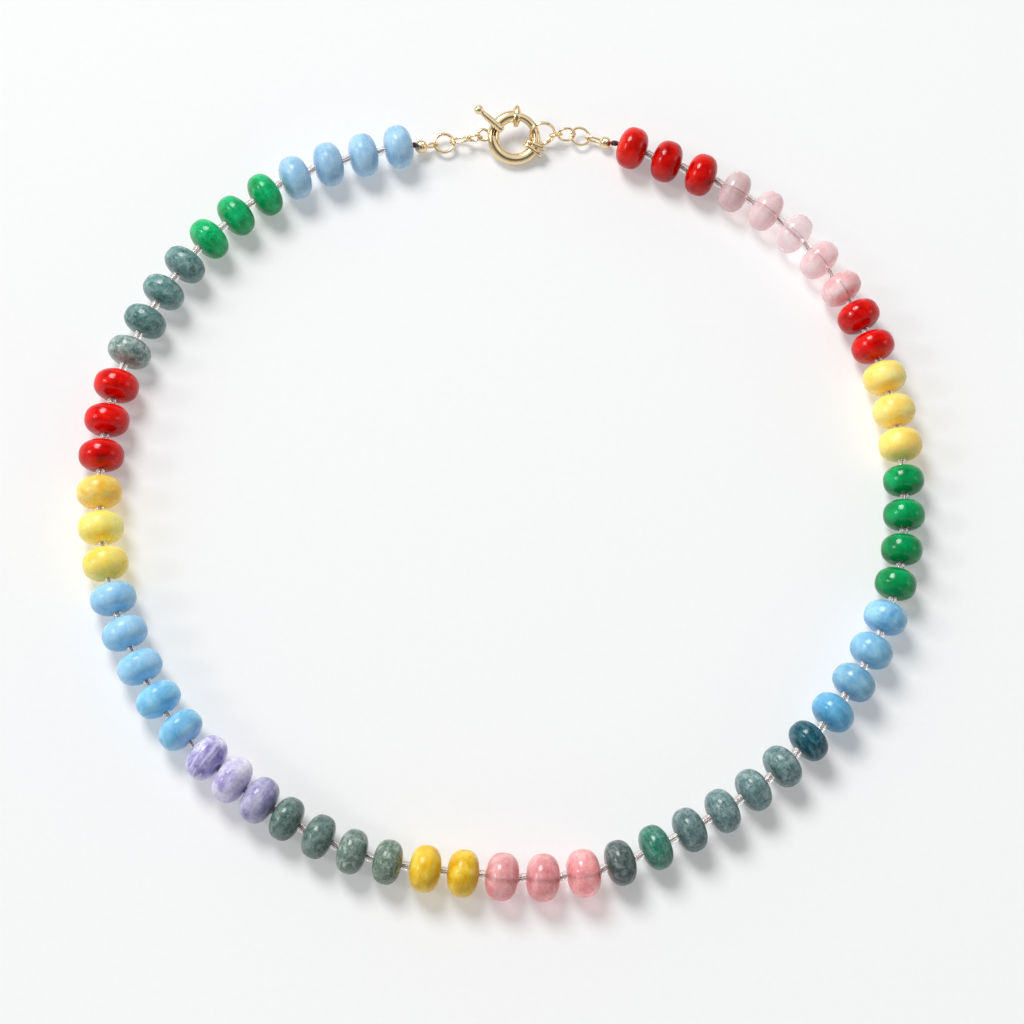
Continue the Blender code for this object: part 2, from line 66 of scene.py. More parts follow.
# Sizes that the solids have too
BEAD_DIAMETER = 8.0 * MM
BEAD_THICKNESS = 5.3 * MM
BEAD_SQUARENESS = 2.45
BEAD_YAW_SCATTER = 2.0
BEAD_SIZE_SCATTER = 0.012
SCATTER_SEED = 62
SPACER_LENGTH = 1.4 * MM
THREAD_END_LEFT = 0.65 * MM
THREAD_END_RIGHT = 1.35 * MM
RING_RADIUS = 4.15 * MM
TUBE_RADIUS = 1.15 * MM
BORE_RADIUS = 0.98 * MM
RING_TILT = 20
RING_HEIGHT = 2.75 * MM
MOUTH_ANGLE = 84.5
BORE_END_ANGLE = 178
COLLAR_REACH = 2.05 * MM
COLLAR_WIDTH = 0.95 * MM
COLLAR_DEPTH = 1.4 * MM
COLLAR_TAPER = 0.6
FLANGE_ANGLE = -29
FLANGE_REACH = 2.15 * MM
FLANGE_DEPTH = 1.5 * MM
FLANGE_THICKNESS = 0.72 * MM
FLANGE_PITCH = 1.05 * MM
EYELET_ANGLE = 174.7
EYELET_RADIUS = 1.05 * MM
EYELET_WIRE = 0.28 * MM
SOLDER_DEPTH = 0.35 * MM
GATE_RADIUS = 0.78 * MM
GATE_TIP_GAP = 0.2 * MM
GATE_TRAVEL = 22
STEM_ANGLE = 150.6
STEM_RADIUS = 0.2 * MM
STEM_CLEARANCE = 0.15 * MM
TRIGGER_CLEARANCE = 0.2 * MM
TRIGGER_RADIUS = 0.72 * MM
TRIGGER_INNER_RADIUS = 2.64 * MM
TRIGGER_INNER_ANGLE = 158
TRIGGER_BALL_RADIUS = 0.9 * MM
TRIGGER_BALL_ORBIT = 8.6 * MM
TRIGGER_BALL_ANGLE = 144.2
LINK_WIRE = 0.25 * MM
RING_WIRE = 0.3 * MM
LINK_PLAY = 0.15 * MM
TIP_BALL_LEFT = 1.3 * MM
TIP_BALL_RIGHT = 1.2 * MM
HOOK_WIDTH = 1.3 * MM
HOOK_LENGTH_LEFT = 3.5 * MM
HOOK_LENGTH_RIGHT = 3.9 * MM

# The loop's course, the runs of stones and the links, as in the solids
ROUTE_POINTS = (
    (2.3, 70.5), (-9.0, 70.0), (-20.0, 67.0), (-39.0, 60.0), (-55.0, 46.5), (-66.0, 29.5),
    (-72.0, 9.5), (-72.0, -11.0), (-67.0, -30.0), (-56.5, -47.5), (-43.5, -59.0), (-27.0, -68.0),
    (-9.0, -71.5), (11.5, -71.5), (30.0, -64.0), (46.5, -53.0), (60.5, -37.5), (69.5, -19.0),
    (72.5, 1.0), (70.5, 21.0), (63.5, 39.5), (49.5, 56.0), (37.5, 63.0), (25.3, 68.0),
    (18.5, 71.2), (13.0, 72.1), (7.2, 70.8),
)
ROUTE_STEPS = 40

# Width, depth and spacing are shares of the usual ones, and the turn is in degrees
Run = namedtuple("Run", "stone count width depth spacing turn")
RUNS = (
    Run("powder_blue", 4, 1.03, 1.01, 1.10, -5),
    Run("kelly_green", 3, 1.02, 0.94, 1.40, 0),
    Run("grey_jade", 4, 1.00, 0.92, 1.32, 1),
    Run("red", 3, 1.01, 1.02, 1.04, 4),
    Run("honey", 3, 1.01, 1.06, 0.79, 0),
    Run("sky_blue", 5, 1.00, 1.01, 0.93, 0),
    Run("lilac", 3, 1.03, 1.03, 0.26, 4),
    Run("moss", 4, 0.96, 0.94, 0.88, 3),
    Run("gold_yellow", 2, 1.01, 1.02, 0.75, 0),
    Run("watermelon", 3, 1.02, 1.07, 0.92, -4),
    Run("dark_teal", 7, 0.97, 0.94, 1.25, -4),
    Run("deep_sky", 4, 0.98, 1.02, 1.05, -2),
    Run("emerald", 4, 0.95, 1.02, 0.96, 4),
    Run("pale_honey", 3, 1.00, 1.11, 0.63, -1),
    Run("red", 2, 1.03, 1.03, 0.78, -1),
    Run("rose", 5, 1.00, 1.00, 1.23, 3),
    Run("red", 3, 1.01, 1.07, 1.00, 5),
)
LEFT_BEADS = 31

Link = namedtuple("Link", "name length width wire roll aside lift", defaults=(0.0, 0.0))
LINKS_LEFT = (
    Link("chain_link_left_2", 2.8 * MM, 1.9 * MM, LINK_WIRE, 90),
    Link("chain_link_left_1", 4.0 * MM, 2.3 * MM, LINK_WIRE, -40),
    Link("jump_ring_left", 3.7 * MM, 3.7 * MM, RING_WIRE, 6),
)
LINKS_RIGHT = (
    Link("large_jump_ring", 4.75 * MM, 4.75 * MM, RING_WIRE, 64, 0.7 * MM, 0.8 * MM),
    Link("chain_link_right_1", 2.3 * MM, 1.6 * MM, LINK_WIRE, -50),
    Link("chain_link_right_2", 3.3 * MM, 2.5 * MM, LINK_WIRE, 55),
    Link("jump_ring_right", 3.6 * MM, 3.5 * MM, LINK_WIRE, 5),
)

# How high the chains hang, as shares of the clasp's height and of a bead's middle
Sag = namedtuple("Sag", "place clasp bead")
SAG = (
    Sag(0.00, 1.02, 0.00),
    Sag(0.33, 0.99, 0.00),
    Sag(0.46, 0.70, 0.00),
    Sag(0.62, 0.50, 0.00),
    Sag(0.76, 0.58, 0.00),
    Sag(0.91, 0.00, 0.84),
    Sag(1.00, 0.00, 1.00),
)

# Detail that the solids leave out
BEAD_SIDES = 56
BEAD_STEPS = 40
BEAD_PROFILE_END = 0.96
HOLE_RADIUS = 0.42 * MM
HOLE_MOUTH_RADIUS = 0.6 * MM
HOLE_MOUTH_RISE = 0.02 * MM
HOLE_MOUTH_TAPER = 0.92
HOLE_STEPS = (0.94, 0.5)
STONE_UNEVENNESS = 0.011
STONE_LUMP_SIZE = 4.5 * MM
STONE_LUMP_SHIFT = (1.7, 3.1, 0)
SEED_SIDES = 28
SEED_STEPS = 8
SEED_FULLNESS = 4
SEED_BORE_END = 0.97
SEED_RADIUS = 0.8 * MM
SEED_END_RADIUS = 0.62 * MM
SEED_BORE_RADIUS = 0.36 * MM
SEED_SINK = 0.06 * MM
STRAND_RADIUS = 0.115 * MM
STRAND_OFFSET = 0.20 * MM
STRAND_PITCH = 36.0 * MM
STRAND_STEP = 0.45 * MM
STRAND_SIDES = 7
KNOT_WIRE = 0.19 * MM
KNOT_SEGMENTS = 28
KNOT_SIDES = 10
KNOT_START = 0.55
KNOT_END = 0.6
TIP_SEAM_DEPTH = 0.05
TIP_SEAM_STEPS = 1.3
TIP_STEPS = 24
TIP_REACH = 80
HOOK_SEGMENTS = 60
COIL_OFFSET = 0.17 * MM
COIL_WIRE = 0.24 * MM
COLLAR_STEPS = 16
COLLAR_END = 0.5
COLLAR_ROUNDING = 40
FLANGE_POWER = 0.6
FLANGE_STEPS = 6
FLANGE_FACE = 0.85
TUBE_SIDES = 40
TUBE_SEGMENTS = 110
BORE_SEGMENTS = 48
SLOT_SEGMENTS = 18
SLOT_TOP = 1.3
GATE_SEGMENTS = 72
STEM_SIDES = 24
TRIGGER_SIDES = 32
EYELET_SEGMENTS = 56
LINK_SEGMENTS = 96
WIRE_SIDES = 16
SHARP_ANGLE = 40
FUSED_SHARP_ANGLE = 35

# The knots' wraps of thread
Wrap = namedtuple("Wrap", "place radius lean")
KNOT_WRAPS = (Wrap(0.25, 0.30 * MM, 12), Wrap(0.45, 0.36 * MM, -9), Wrap(0.66, 0.31 * MM, 14))

# The trigger's bar: the place along it and the share of its radius there. Its ball follows.
TRIGGER_ROWS = (
    (0.0, 0.42), (0.012, 0.68), (0.035, 0.86), (0.07, 0.97), (0.11, 1.0), (0.17, 1.0),
    (0.185, 1.09), (0.215, 1.09), (0.23, 0.98), (0.265, 0.98), (0.28, 1.09), (0.31, 1.09),
    (0.325, 0.99), (0.38, 0.98), (0.46, 0.95), (0.56, 0.92), (0.68, 0.88), (0.76, 0.82),
    (0.81, 0.72), (0.84, 0.74),
)
TRIGGER_BALL_ANGLES = range(-48, 85, 6)

# Camera: where it stands and how it is turned
CAMERA_ELEVATION = 69.0
CAMERA_TURN = 14.0
CAMERA_DISTANCE = 402.68 * MM
CAMERA_OFFSET = Vector((0.45, -6.4, 4.0)) * MM
CAMERA_LENS = 79.1
CAMERA_SENSOR = 36.0
CAMERA_NEAR = 0.01

# Floor, sky and lamps
FLOOR_SIZE = 6.0
FLOOR_TONES = ((0.3, (0.614, 0.617, 0.620, 1.0)), (0.7, (0.626, 0.629, 0.632, 1.0)))
FLOOR_GLOW_COLOUR = (0.994, 1.0, 1.0, 1.0)
FLOOR_GLOW = 0.275
FLOOR_ROUGHNESS = 0.95
FLOOR_GRAIN = 900
SKY = ((0.0, 0.70), (0.34, 0.60), (0.56, 0.18), (0.72, 0.14), (1.0, 0.16))
KEY_SPOT = (-0.30, 0.435, 0.675)
KEY_SIZE = 0.39
KEY_STRENGTH = 8.9
Lamp = namedtuple("Lamp", "name direction angle strength on_colour metal_only",
                  defaults=(True, False))
LAMPS = (
    Lamp("key_left", (-0.830, -0.002, 0.543), 26, 0.40),
    Lamp("glint_left", (-0.830, -0.002, 0.543), 9, 0.35),
    Lamp("glint_right", (0.840, -0.059, 0.485), 24, 0.18, on_colour=False),
    Lamp("metal_card", (0.087, 0.348, 0.934), 76, 0.86, on_colour=False, metal_only=True),
)
METAL_ENDINGS = ("_wire", "_shell", "_metal")

UP = Vector((0, 0, 1))
Bead = namedtuple("Bead", "stone number radius half place yaw")
Ring = namedtuple("Ring", "centre side up half_side half_up power", defaults=(1.0,))
Span = namedtuple("Span", "near far near_height far_height")


# The loop's course and where everything is along it

class Course:
    """A closed smooth curve through the route's points, scaled to a length, read by distance."""

    def __init__(self, points, length):
        corners = [Vector((x, y, 0)) for x, y in points]
        dense = []
        count = len(corners)
        slopes = [self.slope(corners, index) for index in range(count)]
        for index in range(count):
            after = (index + 1) % count
            for step in range(ROUTE_STEPS):
                dense.append(self.hermite(
                    corners[index], corners[after], slopes[index], slopes[after],
                    step / ROUTE_STEPS))
        dense.append(dense[0].copy())
        drawn = sum((b - a).length for a, b in zip(dense, dense[1:]))
        self.points = [point * (length / drawn) for point in dense]
        self.length = length
        self.marks = [0.0]
        for a, b in zip(self.points, self.points[1:]):
            self.marks.append(self.marks[-1] + (b - a).length)

    @staticmethod
    def slope(corners, index):
        before = corners[index] - corners[index - 1]
        after = corners[(index + 1) % len(corners)] - corners[index]
        weight = before.length / (before.length + after.length)
        return before.normalized().lerp(after.normalized(), weight)

    @staticmethod
    def hermite(start, end, slope_start, slope_end, t):
        span = (end - start).length
        point = start.lerp(end, t * t * (3 - 2 * t))
        point += slope_start * (span * t * (1 - t) ** 2)
        point -= slope_end * (span * t * t * (1 - t))
        return point

    def point(self, distance):
        distance %= self.length
        low, high = 0, len(self.marks) - 1
        while high - low > 1:
            middle = (low + high) // 2
            if self.marks[middle] <= distance:
                low = middle
            else:
                high = middle
        share = (distance - self.marks[low]) / (self.marks[high] - self.marks[low])
        return self.points[low].lerp(self.points[high], share)

    def direction(self, distance):
        reach = BEAD_THICKNESS / 2
        return (self.point(distance + reach) - self.point(distance - reach)).normalized()


def sag_height(place):
    heights = [row.clasp * RING_HEIGHT + row.bead * BEAD_DIAMETER / 2 for row in SAG]
    for index, (low, high) in enumerate(zip(SAG, SAG[1:])):
        if place <= high.place:
            share = (place - low.place) / (high.place - low.place)
            return heights[index] + (heights[index + 1] - heights[index]) * share
    return heights[-1]


def lay_links(links, first_place, first_wire, hook_length, ball_radius, thread_end):
    """Lay the links outwards, each hooked through the last: their spans and the whole reach."""
    run = first_place + sum(link.length for link in links) + hook_length + ball_radius + thread_end
    place = drawn = first_place
    wire_before = first_wire
    spans = []
    rows = [(link.length, link.wire) for link in links] + [(hook_length, LINK_WIRE)]
    for length, wire in rows:
        overlap = wire_before + wire + LINK_PLAY
        near = sag_height((drawn - overlap) / run)
        far = sag_height((drawn - overlap + length) / run)
        flat = math.sqrt(length ** 2 - (far - near) ** 2)
        place -= overlap
        spans.append(Span(place, place + flat, near, far))
        place += flat
        drawn += length - overlap
        wire_before = wire
    return spans, place + ball_radius + thread_end


def eyelet_far_wire():
    return RING_RADIUS + TUBE_RADIUS - SOLDER_DEPTH + 2 * EYELET_RADIUS


def gate_far_side():
    return RING_RADIUS - GATE_RADIUS + RING_WIRE


def place_beads(start):
    scatter = random.Random(SCATTER_SEED)
    beads = []
    face = start
    for run in RUNS:
        for _ in range(run.count):
            yaw = math.radians(run.turn + scatter.uniform(-BEAD_YAW_SCATTER, BEAD_YAW_SCATTER))
            size = 1 + scatter.uniform(-BEAD_SIZE_SCATTER, BEAD_SIZE_SCATTER)
            radius = BEAD_DIAMETER / 2 * run.width * size
            half = BEAD_THICKNESS / 2 * run.depth
            beads.append(Bead(run.stone, len(beads) + 1, radius, half, face + half, yaw))
            end = face + 2 * half
            face = end + SPACER_LENGTH * run.spacing
    return beads, end


def camera_look():
    """The way the camera looks: down and towards the clasp."""
    elevation = math.radians(CAMERA_ELEVATION)
    turn = math.radians(CAMERA_TURN)
    level = Vector((math.sin(turn), math.cos(turn), 0))
    return level * math.cos(elevation) - UP * math.sin(elevation)


def bead_frame(course, bead):
    ahead = Matrix.Rotation(bead.yaw, 3, "Z") @ course.direction(bead.place)
    side = UP.cross(ahead)
    centre = course.point(bead.place) + UP * bead.radius
    return centre, ahead, side


def ends_of(course, span, sign):
    near = course.point(sign * span.near) + UP * span.near_height
    far = course.point(sign * span.far) + UP * span.far_height
    return near, far


def link_matrix(near, far, roll):
    """X runs from near to far, Y is level, and then the link rolls about X."""
    ahead = (far - near).normalized()
    level = UP.cross(ahead).normalized()
    axes = Matrix((ahead, level, ahead.cross(level))).transposed().to_4x4()
    return Matrix.Translation((near + far) / 2) @ axes @ Matrix.Rotation(math.radians(roll), 4, "X")


# Meshes

def finish_mesh(body, name):
    bmesh.ops.recalc_face_normals(body, faces=body.faces)
    mesh = bpy.data.meshes.new(name)
    body.to_mesh(mesh)
    body.free()
    mesh.shade_smooth()
    mesh.set_sharp_from_angle(angle=math.radians(SHARP_ANGLE))
    return mesh


def ring_points(ring, sides, first=0.0):
    points = []
    for index in range(sides):
        angle = first + 2 * math.pi * index / sides
        cosine, sine = math.cos(angle), math.sin(angle)
        across = ring.half_side * math.copysign(abs(cosine) ** ring.power, cosine)
        upward = ring.half_up * math.copysign(abs(sine) ** ring.power, sine)
        points.append(ring.centre + ring.side * across + ring.up * upward)
    return points


def loft(rings, sides, closed=False, first=0.0, name="loft"):
    body = bmesh.new()
    loops = [[body.verts.new(point) for point in ring_points(ring, sides, first)] for ring in rings]
    spans = len(rings) if closed else len(rings) - 1
    for span in range(spans):
        near = loops[span]
        far = loops[(span + 1) % len(rings)]
        for index in range(sides):
            after = (index + 1) % sides
            body.faces.new((near[index], near[after], far[after], far[index]))
    if not closed:
        body.faces.new(reversed(loops[0]))
        body.faces.new(loops[-1])
    return finish_mesh(body, name)


def round_ring(centre, side, up, radius):
    return Ring(centre, side, up, radius, radius)


def rings_along_x(profile):
    """A round ring about X for each (distance along X, radius)."""
    y_axis = Vector((0, 1, 0))
    return [round_ring(Vector((along, 0, 0)), y_axis, UP, radius) for along, radius in profile]


def revolve(profile, sides, name):
    """Turn a closed profile of (distance along X, radius) about X."""
    return loft(rings_along_x(profile), sides, closed=True, name=name)


def arc_rings(radius, start, end, segments):
    """Round rings along the clasp's ring, from angle to angle."""
    rings = []
    for index in range(segments + 1):
        angle = math.radians(start + (end - start) * index / segments)
        outward = Vector((math.cos(angle), math.sin(angle), 0))
        rings.append(round_ring(outward * RING_RADIUS, outward, UP, radius))
    return rings


def oval_mesh(length, width, wire, segments=LINK_SEGMENTS, sides=WIRE_SIDES):
    rings = []
    for index in range(segments):
        angle = 2 * math.pi * index / segments
        centre = Vector((length / 2 * math.cos(angle), width / 2 * math.sin(angle), 0))
        outward = Vector((width * math.cos(angle), length * math.sin(angle), 0)).normalized()
        rings.append(round_ring(centre, outward, UP, wire))
    return loft(rings, sides, closed=True)


def sweep(points, radius, sides, name):
    """A round tube along a path of points."""
    rings = []
    for index, point in enumerate(points):
        before = points[max(index - 1, 0)]
        after = points[min(index + 1, len(points) - 1)]
        ahead = (after - before).normalized()
        side = UP.cross(ahead).normalized()
        rings.append(round_ring(point, side, ahead.cross(side), radius))
    return loft(rings, sides, name=name)


def fuse(base, changes):
    """The base mesh with each (mesh, operation) applied to it in turn."""
    holder = bpy.data.objects.new("base", base)
    bpy.context.scene.collection.objects.link(holder)
    guides = []
    for mesh, operation in changes:
        guide = bpy.data.objects.new("guide", mesh)
        bpy.context.scene.collection.objects.link(guide)
        guides.append(guide)
        modifier = holder.modifiers.new("change", "BOOLEAN")
        modifier.operation = operation
        modifier.solver = "EXACT"
        modifier.object = guide
    depsgraph = bpy.context.evaluated_depsgraph_get()
    fused = bpy.data.meshes.new_from_object(holder.evaluated_get(depsgraph))
    for obj in (*guides, holder):
        bpy.data.objects.remove(obj, do_unlink=True)
    fused.shade_smooth()
    fused.set_sharp_from_angle(angle=math.radians(FUSED_SHARP_ANGLE))
    return fused


def place_piece(name, mesh, material, body, replaced, matrix=None):
    """Stand a piece in the scene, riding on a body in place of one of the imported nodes."""
    mesh.materials.clear()
    mesh.materials.append(material)
    obj = bpy.data.objects.new(name, mesh)
    bpy.context.scene.collection.objects.link(obj)
    if matrix:
        obj.matrix_world = matrix
    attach(obj, body)
    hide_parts(replaced)
    return obj


# Materials

def srgb(red, green, blue):
    """A colour as a screen shows it, from 0 to 255, in linear light."""
    channels = []
    for value in (red, green, blue):
        share = value / 255
        channels.append(share / 12.92 if share <= 0.04045 else ((share + 0.055) / 1.055) ** 2.4)
    return (*channels, 1.0)


def toned(colour, tone):
    return (*(min(channel * (1 + tone), 1.0) for channel in colour[:3]), 1.0)


def feed(tree, socket, value):
    """Link the socket to a node's output, or set it to a plain value."""
    if isinstance(value, bpy.types.NodeSocket):
        tree.links.new(value, socket)
    else:
        socket.default_value = value


def add_node(tree, kind, values=None, **settings):
    node = tree.nodes.new("ShaderNode" + kind)
    for key, value in settings.items():
        setattr(node, key, value)
    for key, value in (values or {}).items():
        feed(tree, node.inputs[key], value)
    return node


def mix_colour(tree, factor, first, second):
    values = {0: factor, 6: first, 7: second}
    return add_node(tree, "Mix", values, data_type="RGBA").outputs[2]


def ramp(tree, factor, stops):
    node = add_node(tree, "ValToRGB", {"Fac": factor})
    elements = node.color_ramp.elements
    while len(elements) < len(stops):
        elements.new(0.5)
    for element, (position, colour) in zip(elements, stops):
        element.position = position
        element.color = colour if isinstance(colour, tuple) else (colour, colour, colour, 1.0)
    return node.outputs["Color"]


def map_value(tree, value, from_low, from_high, to_low, to_high, smooth=False):
    node = add_node(tree, "MapRange", {
        "Value": value, "From Min": from_low, "From Max": from_high,
        "To Min": to_low, "To Max": to_high,
    }, interpolation_type="SMOOTHSTEP" if smooth else "LINEAR")
    return node.outputs["Result"]


def noise_value(tree, vector, scale, detail=3.0, roughness=0.55, distortion=0.0):
    node = add_node(tree, "TexNoise", {
        "Vector": vector, "Scale": scale, "Detail": detail, "Roughness": roughness,
        "Distortion": distortion,
    })
    return node.outputs["Fac"]


def new_material(name):
    """A material, its node tree and shader, and the place of each point on its piece."""
    material = bpy.data.materials.new(name)
    material.use_nodes = True
    tree = material.node_tree
    place = add_node(tree, "TexCoord").outputs["Object"]
    return material, tree, tree.nodes["Principled BSDF"], place


def set_shader(tree, shader, **values):
    for key, value in values.items():
        feed(tree, shader.inputs[key.replace("_", " ")], value)


def gloss(tree, marks, low, high):
    """A roughness that goes from low to high with the noise of the marks."""
    return map_value(tree, marks, *MIDDLE_OF_NOISE, low, high)


def bumps(tree, heights, strength, depth):
    values = {"Height": heights, "Strength": strength, "Distance": depth}
    return add_node(tree, "Bump", values).outputs["Normal"]


Stone = namedtuple("Stone", (
    "deep", "body", "light", "rim", "cloud", "contrast",
    "vein_colour", "vein", "vein_scale", "speck_colour", "speck",
    "glow_depth", "glow", "clear", "through", "roughness",
    "drill_colour", "drill", "drill_width",
), defaults=((0, 0, 0), 0.0, 1.0))

# The look of each kind of stone, with colours as a screen shows them and sizes in millimetres.
# The first row has its colours, the painted light and shade low on its rim among them, and its
# clouds, and the second its streaks, its specks, how far light spreads inside it, how much does,
# how much goes straight in, how much comes out beneath it and the roughness of its polish. A third
# has the painted line where its hole and thread show through from above.
STONES = {
    "powder_blue": Stone(
        (128, 175, 214), (158, 202, 231), (191, 223, 242), (186, 218, 243), 3.0, 0.85,
        (192, 219, 236), 0.3, 1100, (114, 160, 204), 0.2, 1.4, 0.5, 0.05, 0.34, 0.23),
    "kelly_green": Stone(
        (0, 140, 70), (4, 176, 104), (30, 198, 126), (0, 112, 56), 1.8, 1.0,
        (0, 122, 60), 0.28, 900, (76, 208, 146), 0.36, 0.8, 0.3, 0.03, 0.22, 0.17),
    "grey_jade": Stone(
        (62, 94, 91), (101, 143, 140), (150, 178, 173), (138, 160, 157), 1.1, 0.9,
        (172, 192, 186), 0.18, 1400, (34, 60, 56), 0.62, 0.4, 0.15, 0.02, 0.12, 0.18),
    "red": Stone(
        (170, 0, 0), (221, 4, 0), (240, 30, 16), (152, 0, 0), 2.6, 1.0,
        (232, 44, 30), 0.18, 900, (146, 0, 0), 0.3, 1.0, 0.4, 0.05, 0.24, 0.15),
    "honey": Stone(
        (252, 210, 78), (255, 228, 112), (255, 240, 156), (255, 228, 134), 3.4, 0.9,
        (252, 238, 178), 0.24, 600, (246, 198, 62), 0.18, 1.2, 0.32, 0.16, 0.5, 0.27),
    "sky_blue": Stone(
        (122, 184, 222), (154, 207, 240), (180, 222, 246), (124, 178, 212), 3.2, 0.85,
        (184, 218, 232), 0.2, 900, (114, 168, 202), 0.24, 1.4, 0.5, 0.05, 0.34, 0.21),
    "lilac": Stone(
        (132, 125, 184), (179, 174, 216), (220, 216, 236), (180, 174, 208), 2.8, 0.95,
        (212, 208, 230), 0.62, 1500, (104, 94, 158), 0.34, 1.0, 0.4, 0.04, 0.28, 0.19),
    "moss": Stone(
        (66, 92, 87), (111, 136, 130), (144, 162, 154), (82, 98, 92), 1.1, 0.85,
        (156, 170, 162), 0.18, 1400, (20, 38, 34), 0.62, 0.4, 0.15, 0.02, 0.12, 0.18),
    "gold_yellow": Stone(
        (216, 168, 24), (235, 196, 48), (246, 217, 98), (243, 214, 104), 2.8, 1.0,
        (208, 156, 24), 0.28, 800, (196, 142, 16), 0.26, 1.2, 0.45, 0.05, 0.36, 0.23),
    "watermelon": Stone(
        (216, 124, 130), (235, 172, 173), (248, 210, 208), (240, 162, 166), 3.0, 0.95,
        (250, 210, 206), 0.32, 800, (212, 98, 110), 0.26, 1.6, 0.45, 0.3, 0.5, 0.18,
        (124, 88, 90), 0.48, 0.75),
    "dark_teal": Stone(
        (62, 90, 90), (101, 127, 128), (144, 165, 166), (98, 116, 118), 1.1, 0.85,
        (164, 184, 182), 0.18, 1400, (22, 44, 46), 0.64, 0.4, 0.15, 0.02, 0.12, 0.17),
    "deep_sky": Stone(
        (92, 156, 198), (128, 181, 209), (164, 206, 225), (104, 164, 200), 3.2, 0.85,
        (174, 212, 229), 0.2, 900, (78, 142, 186), 0.26, 1.4, 0.5, 0.05, 0.34, 0.19),
    "emerald": Stone(
        (0, 118, 58), (0, 149, 80), (0, 170, 97), (0, 90, 46), 2.8, 1.0,
        (0, 120, 60), 0.18, 800, (0, 176, 104), 0.28, 1.0, 0.35, 0.04, 0.24, 0.14),
    "pale_honey": Stone(
        (243, 202, 92), (250, 217, 113), (252, 231, 148), (248, 220, 138), 3.4, 0.9,
        (250, 234, 174), 0.22, 600, (236, 190, 72), 0.18, 1.2, 0.34, 0.05, 0.42, 0.27),
    "rose": Stone(
        (246, 200, 202), (252, 228, 229), (254, 243, 243), (249, 214, 216), 3.2, 0.9,
        (255, 246, 246), 0.3, 700, (241, 182, 186), 0.2, 2.0, 0.35, 0.5, 0.62, 0.18,
        (134, 104, 106), 0.55, 0.24),
}

# Stones that differ from their run: how much lighter they are, and whatever else is their own,
# the painted light and shade low on the rim included
BEAD_TONES = {
    2: 0.01, 3: -0.06, 4: -0.02, 7: 0.12, 8: 0.03, 9: 0.12, 10: -0.08, 11: 0.58, 12: 0.13,
    13: 0.12, 14: -0.02, 16: 0.10, 17: 0.06, 18: -0.02, 19: 0.02, 20: 0.04, 21: 0.27,
    22: 0.23, 23: 0.28, 24: 0.26, 25: -0.18, 26: -0.15, 27: -0.13, 28: 0.60, 29: 0.44,
    31: -0.02, 34: 0.14, 36: 0.06, 37: -0.03, 38: 0.20, 39: 0.24, 40: 0.19, 41: 0.22,
    42: 0.11, 44: 0.16, 45: 0.22, 47: -0.05, 48: 0.05, 49: 0.10, 50: 0.08, 51: 0.08, 52: 0.10,
    53: 0.06, 54: -0.03, 57: 0.08, 58: -0.06, 59: -0.18, 60: -0.13, 61: -0.18,
}
BEAD_CHANGES = {
    1: {"vein": 0.45, "vein_scale": 1700},
    11: {"body": (108, 124, 120), "light": (160, 170, 164),
         "speck_colour": (74, 58, 48), "speck": 0.6},
    15: {"deep": (246, 190, 60), "body": (251, 212, 92)},
    21: {"deep": (92, 156, 200), "body": (122, 184, 214), "light": (152, 202, 226)},
    22: {"deep": (88, 150, 196), "body": (116, 176, 209), "light": (148, 198, 222)},
    23: {"body": (162, 157, 198), "deep": (116, 107, 168)},
    24: {"deep": (148, 138, 186), "body": (190, 186, 208), "light": (216, 214, 226), "vein": 0.5},
    28: {"body": (92, 105, 98)},
    29: {"body": (92, 107, 92)},
    35: {"deep": (48, 62, 60), "body": (92, 106, 103), "light": (136, 146, 144),
         "rim": (134, 142, 140)},
    36: {"deep": (0, 82, 58), "body": (54, 122, 102), "light": (112, 158, 142),
         "rim": (118, 138, 134), "cloud": 2.0},
    41: {"deep": (4, 48, 60), "body": (24, 78, 92), "light": (66, 114, 128),
         "rim": (64, 102, 114)},
    42: {"deep": (60, 136, 184), "body": (90, 162, 200), "light": (126, 186, 216)},
    55: {"clear": 0.25, "glow": 0.5, "through": 0.5,
         "deep": (238, 168, 170), "body": (244, 190, 191)},
    57: {"clear": 0.75, "deep": (249, 216, 217), "body": (253, 234, 234),
         "light": (255, 246, 246)},
    62: {"body": (216, 22, 8)},
}

# What all stones share. A noise row gives its detail, roughness and distortion.
PATTERN_SHIFT = (0.037, 0.011, 0.023)
MIDDLE_OF_NOISE = (0.3, 0.7)
CLOUD_NOISE = (5.0, 0.62, 0.35)
CLOUD_SPREAD = 0.17
STREAK_STRETCH = (1.0, 0.14, 0.14)
STREAK_NOISE = (3.0, 0.6, 0.25)
STREAK_RANGE = (0.47, 0.64)
SPECK_SCALE = 2600
SPECK_NOISE = (3.0, 0.75)
SPECK_RANGE = (0.53, 0.66)
# Gaps that break up the painted line where a stone's hole shows through
SEE_THROUGH_GAP_SCALE = 1300
SEE_THROUGH_GAP_NOISE = (3.0, 0.7)
SEE_THROUGH_GAP_RANGE = (0.36, 0.58)
SEE_THROUGH_LEAST = 0.35
# Painted light and shade low on the rim: full below the first share of the radius in height, gone
# above the second
PAINTED_RIM_SHADING_RANGE = (0.05, 0.48)
PAINTED_RIM_SHADING_STRENGTH = 0.5
POLISH_SCALE = 700
POLISH_RANGE = (0.8, 1.35)
WAVE_SCALE = 420
WAVE_STRENGTH = 0.1
WAVE_DEPTH = 0.1 * MM
STONE_IOR = 1.54
STONE_SPECULAR = 0.27

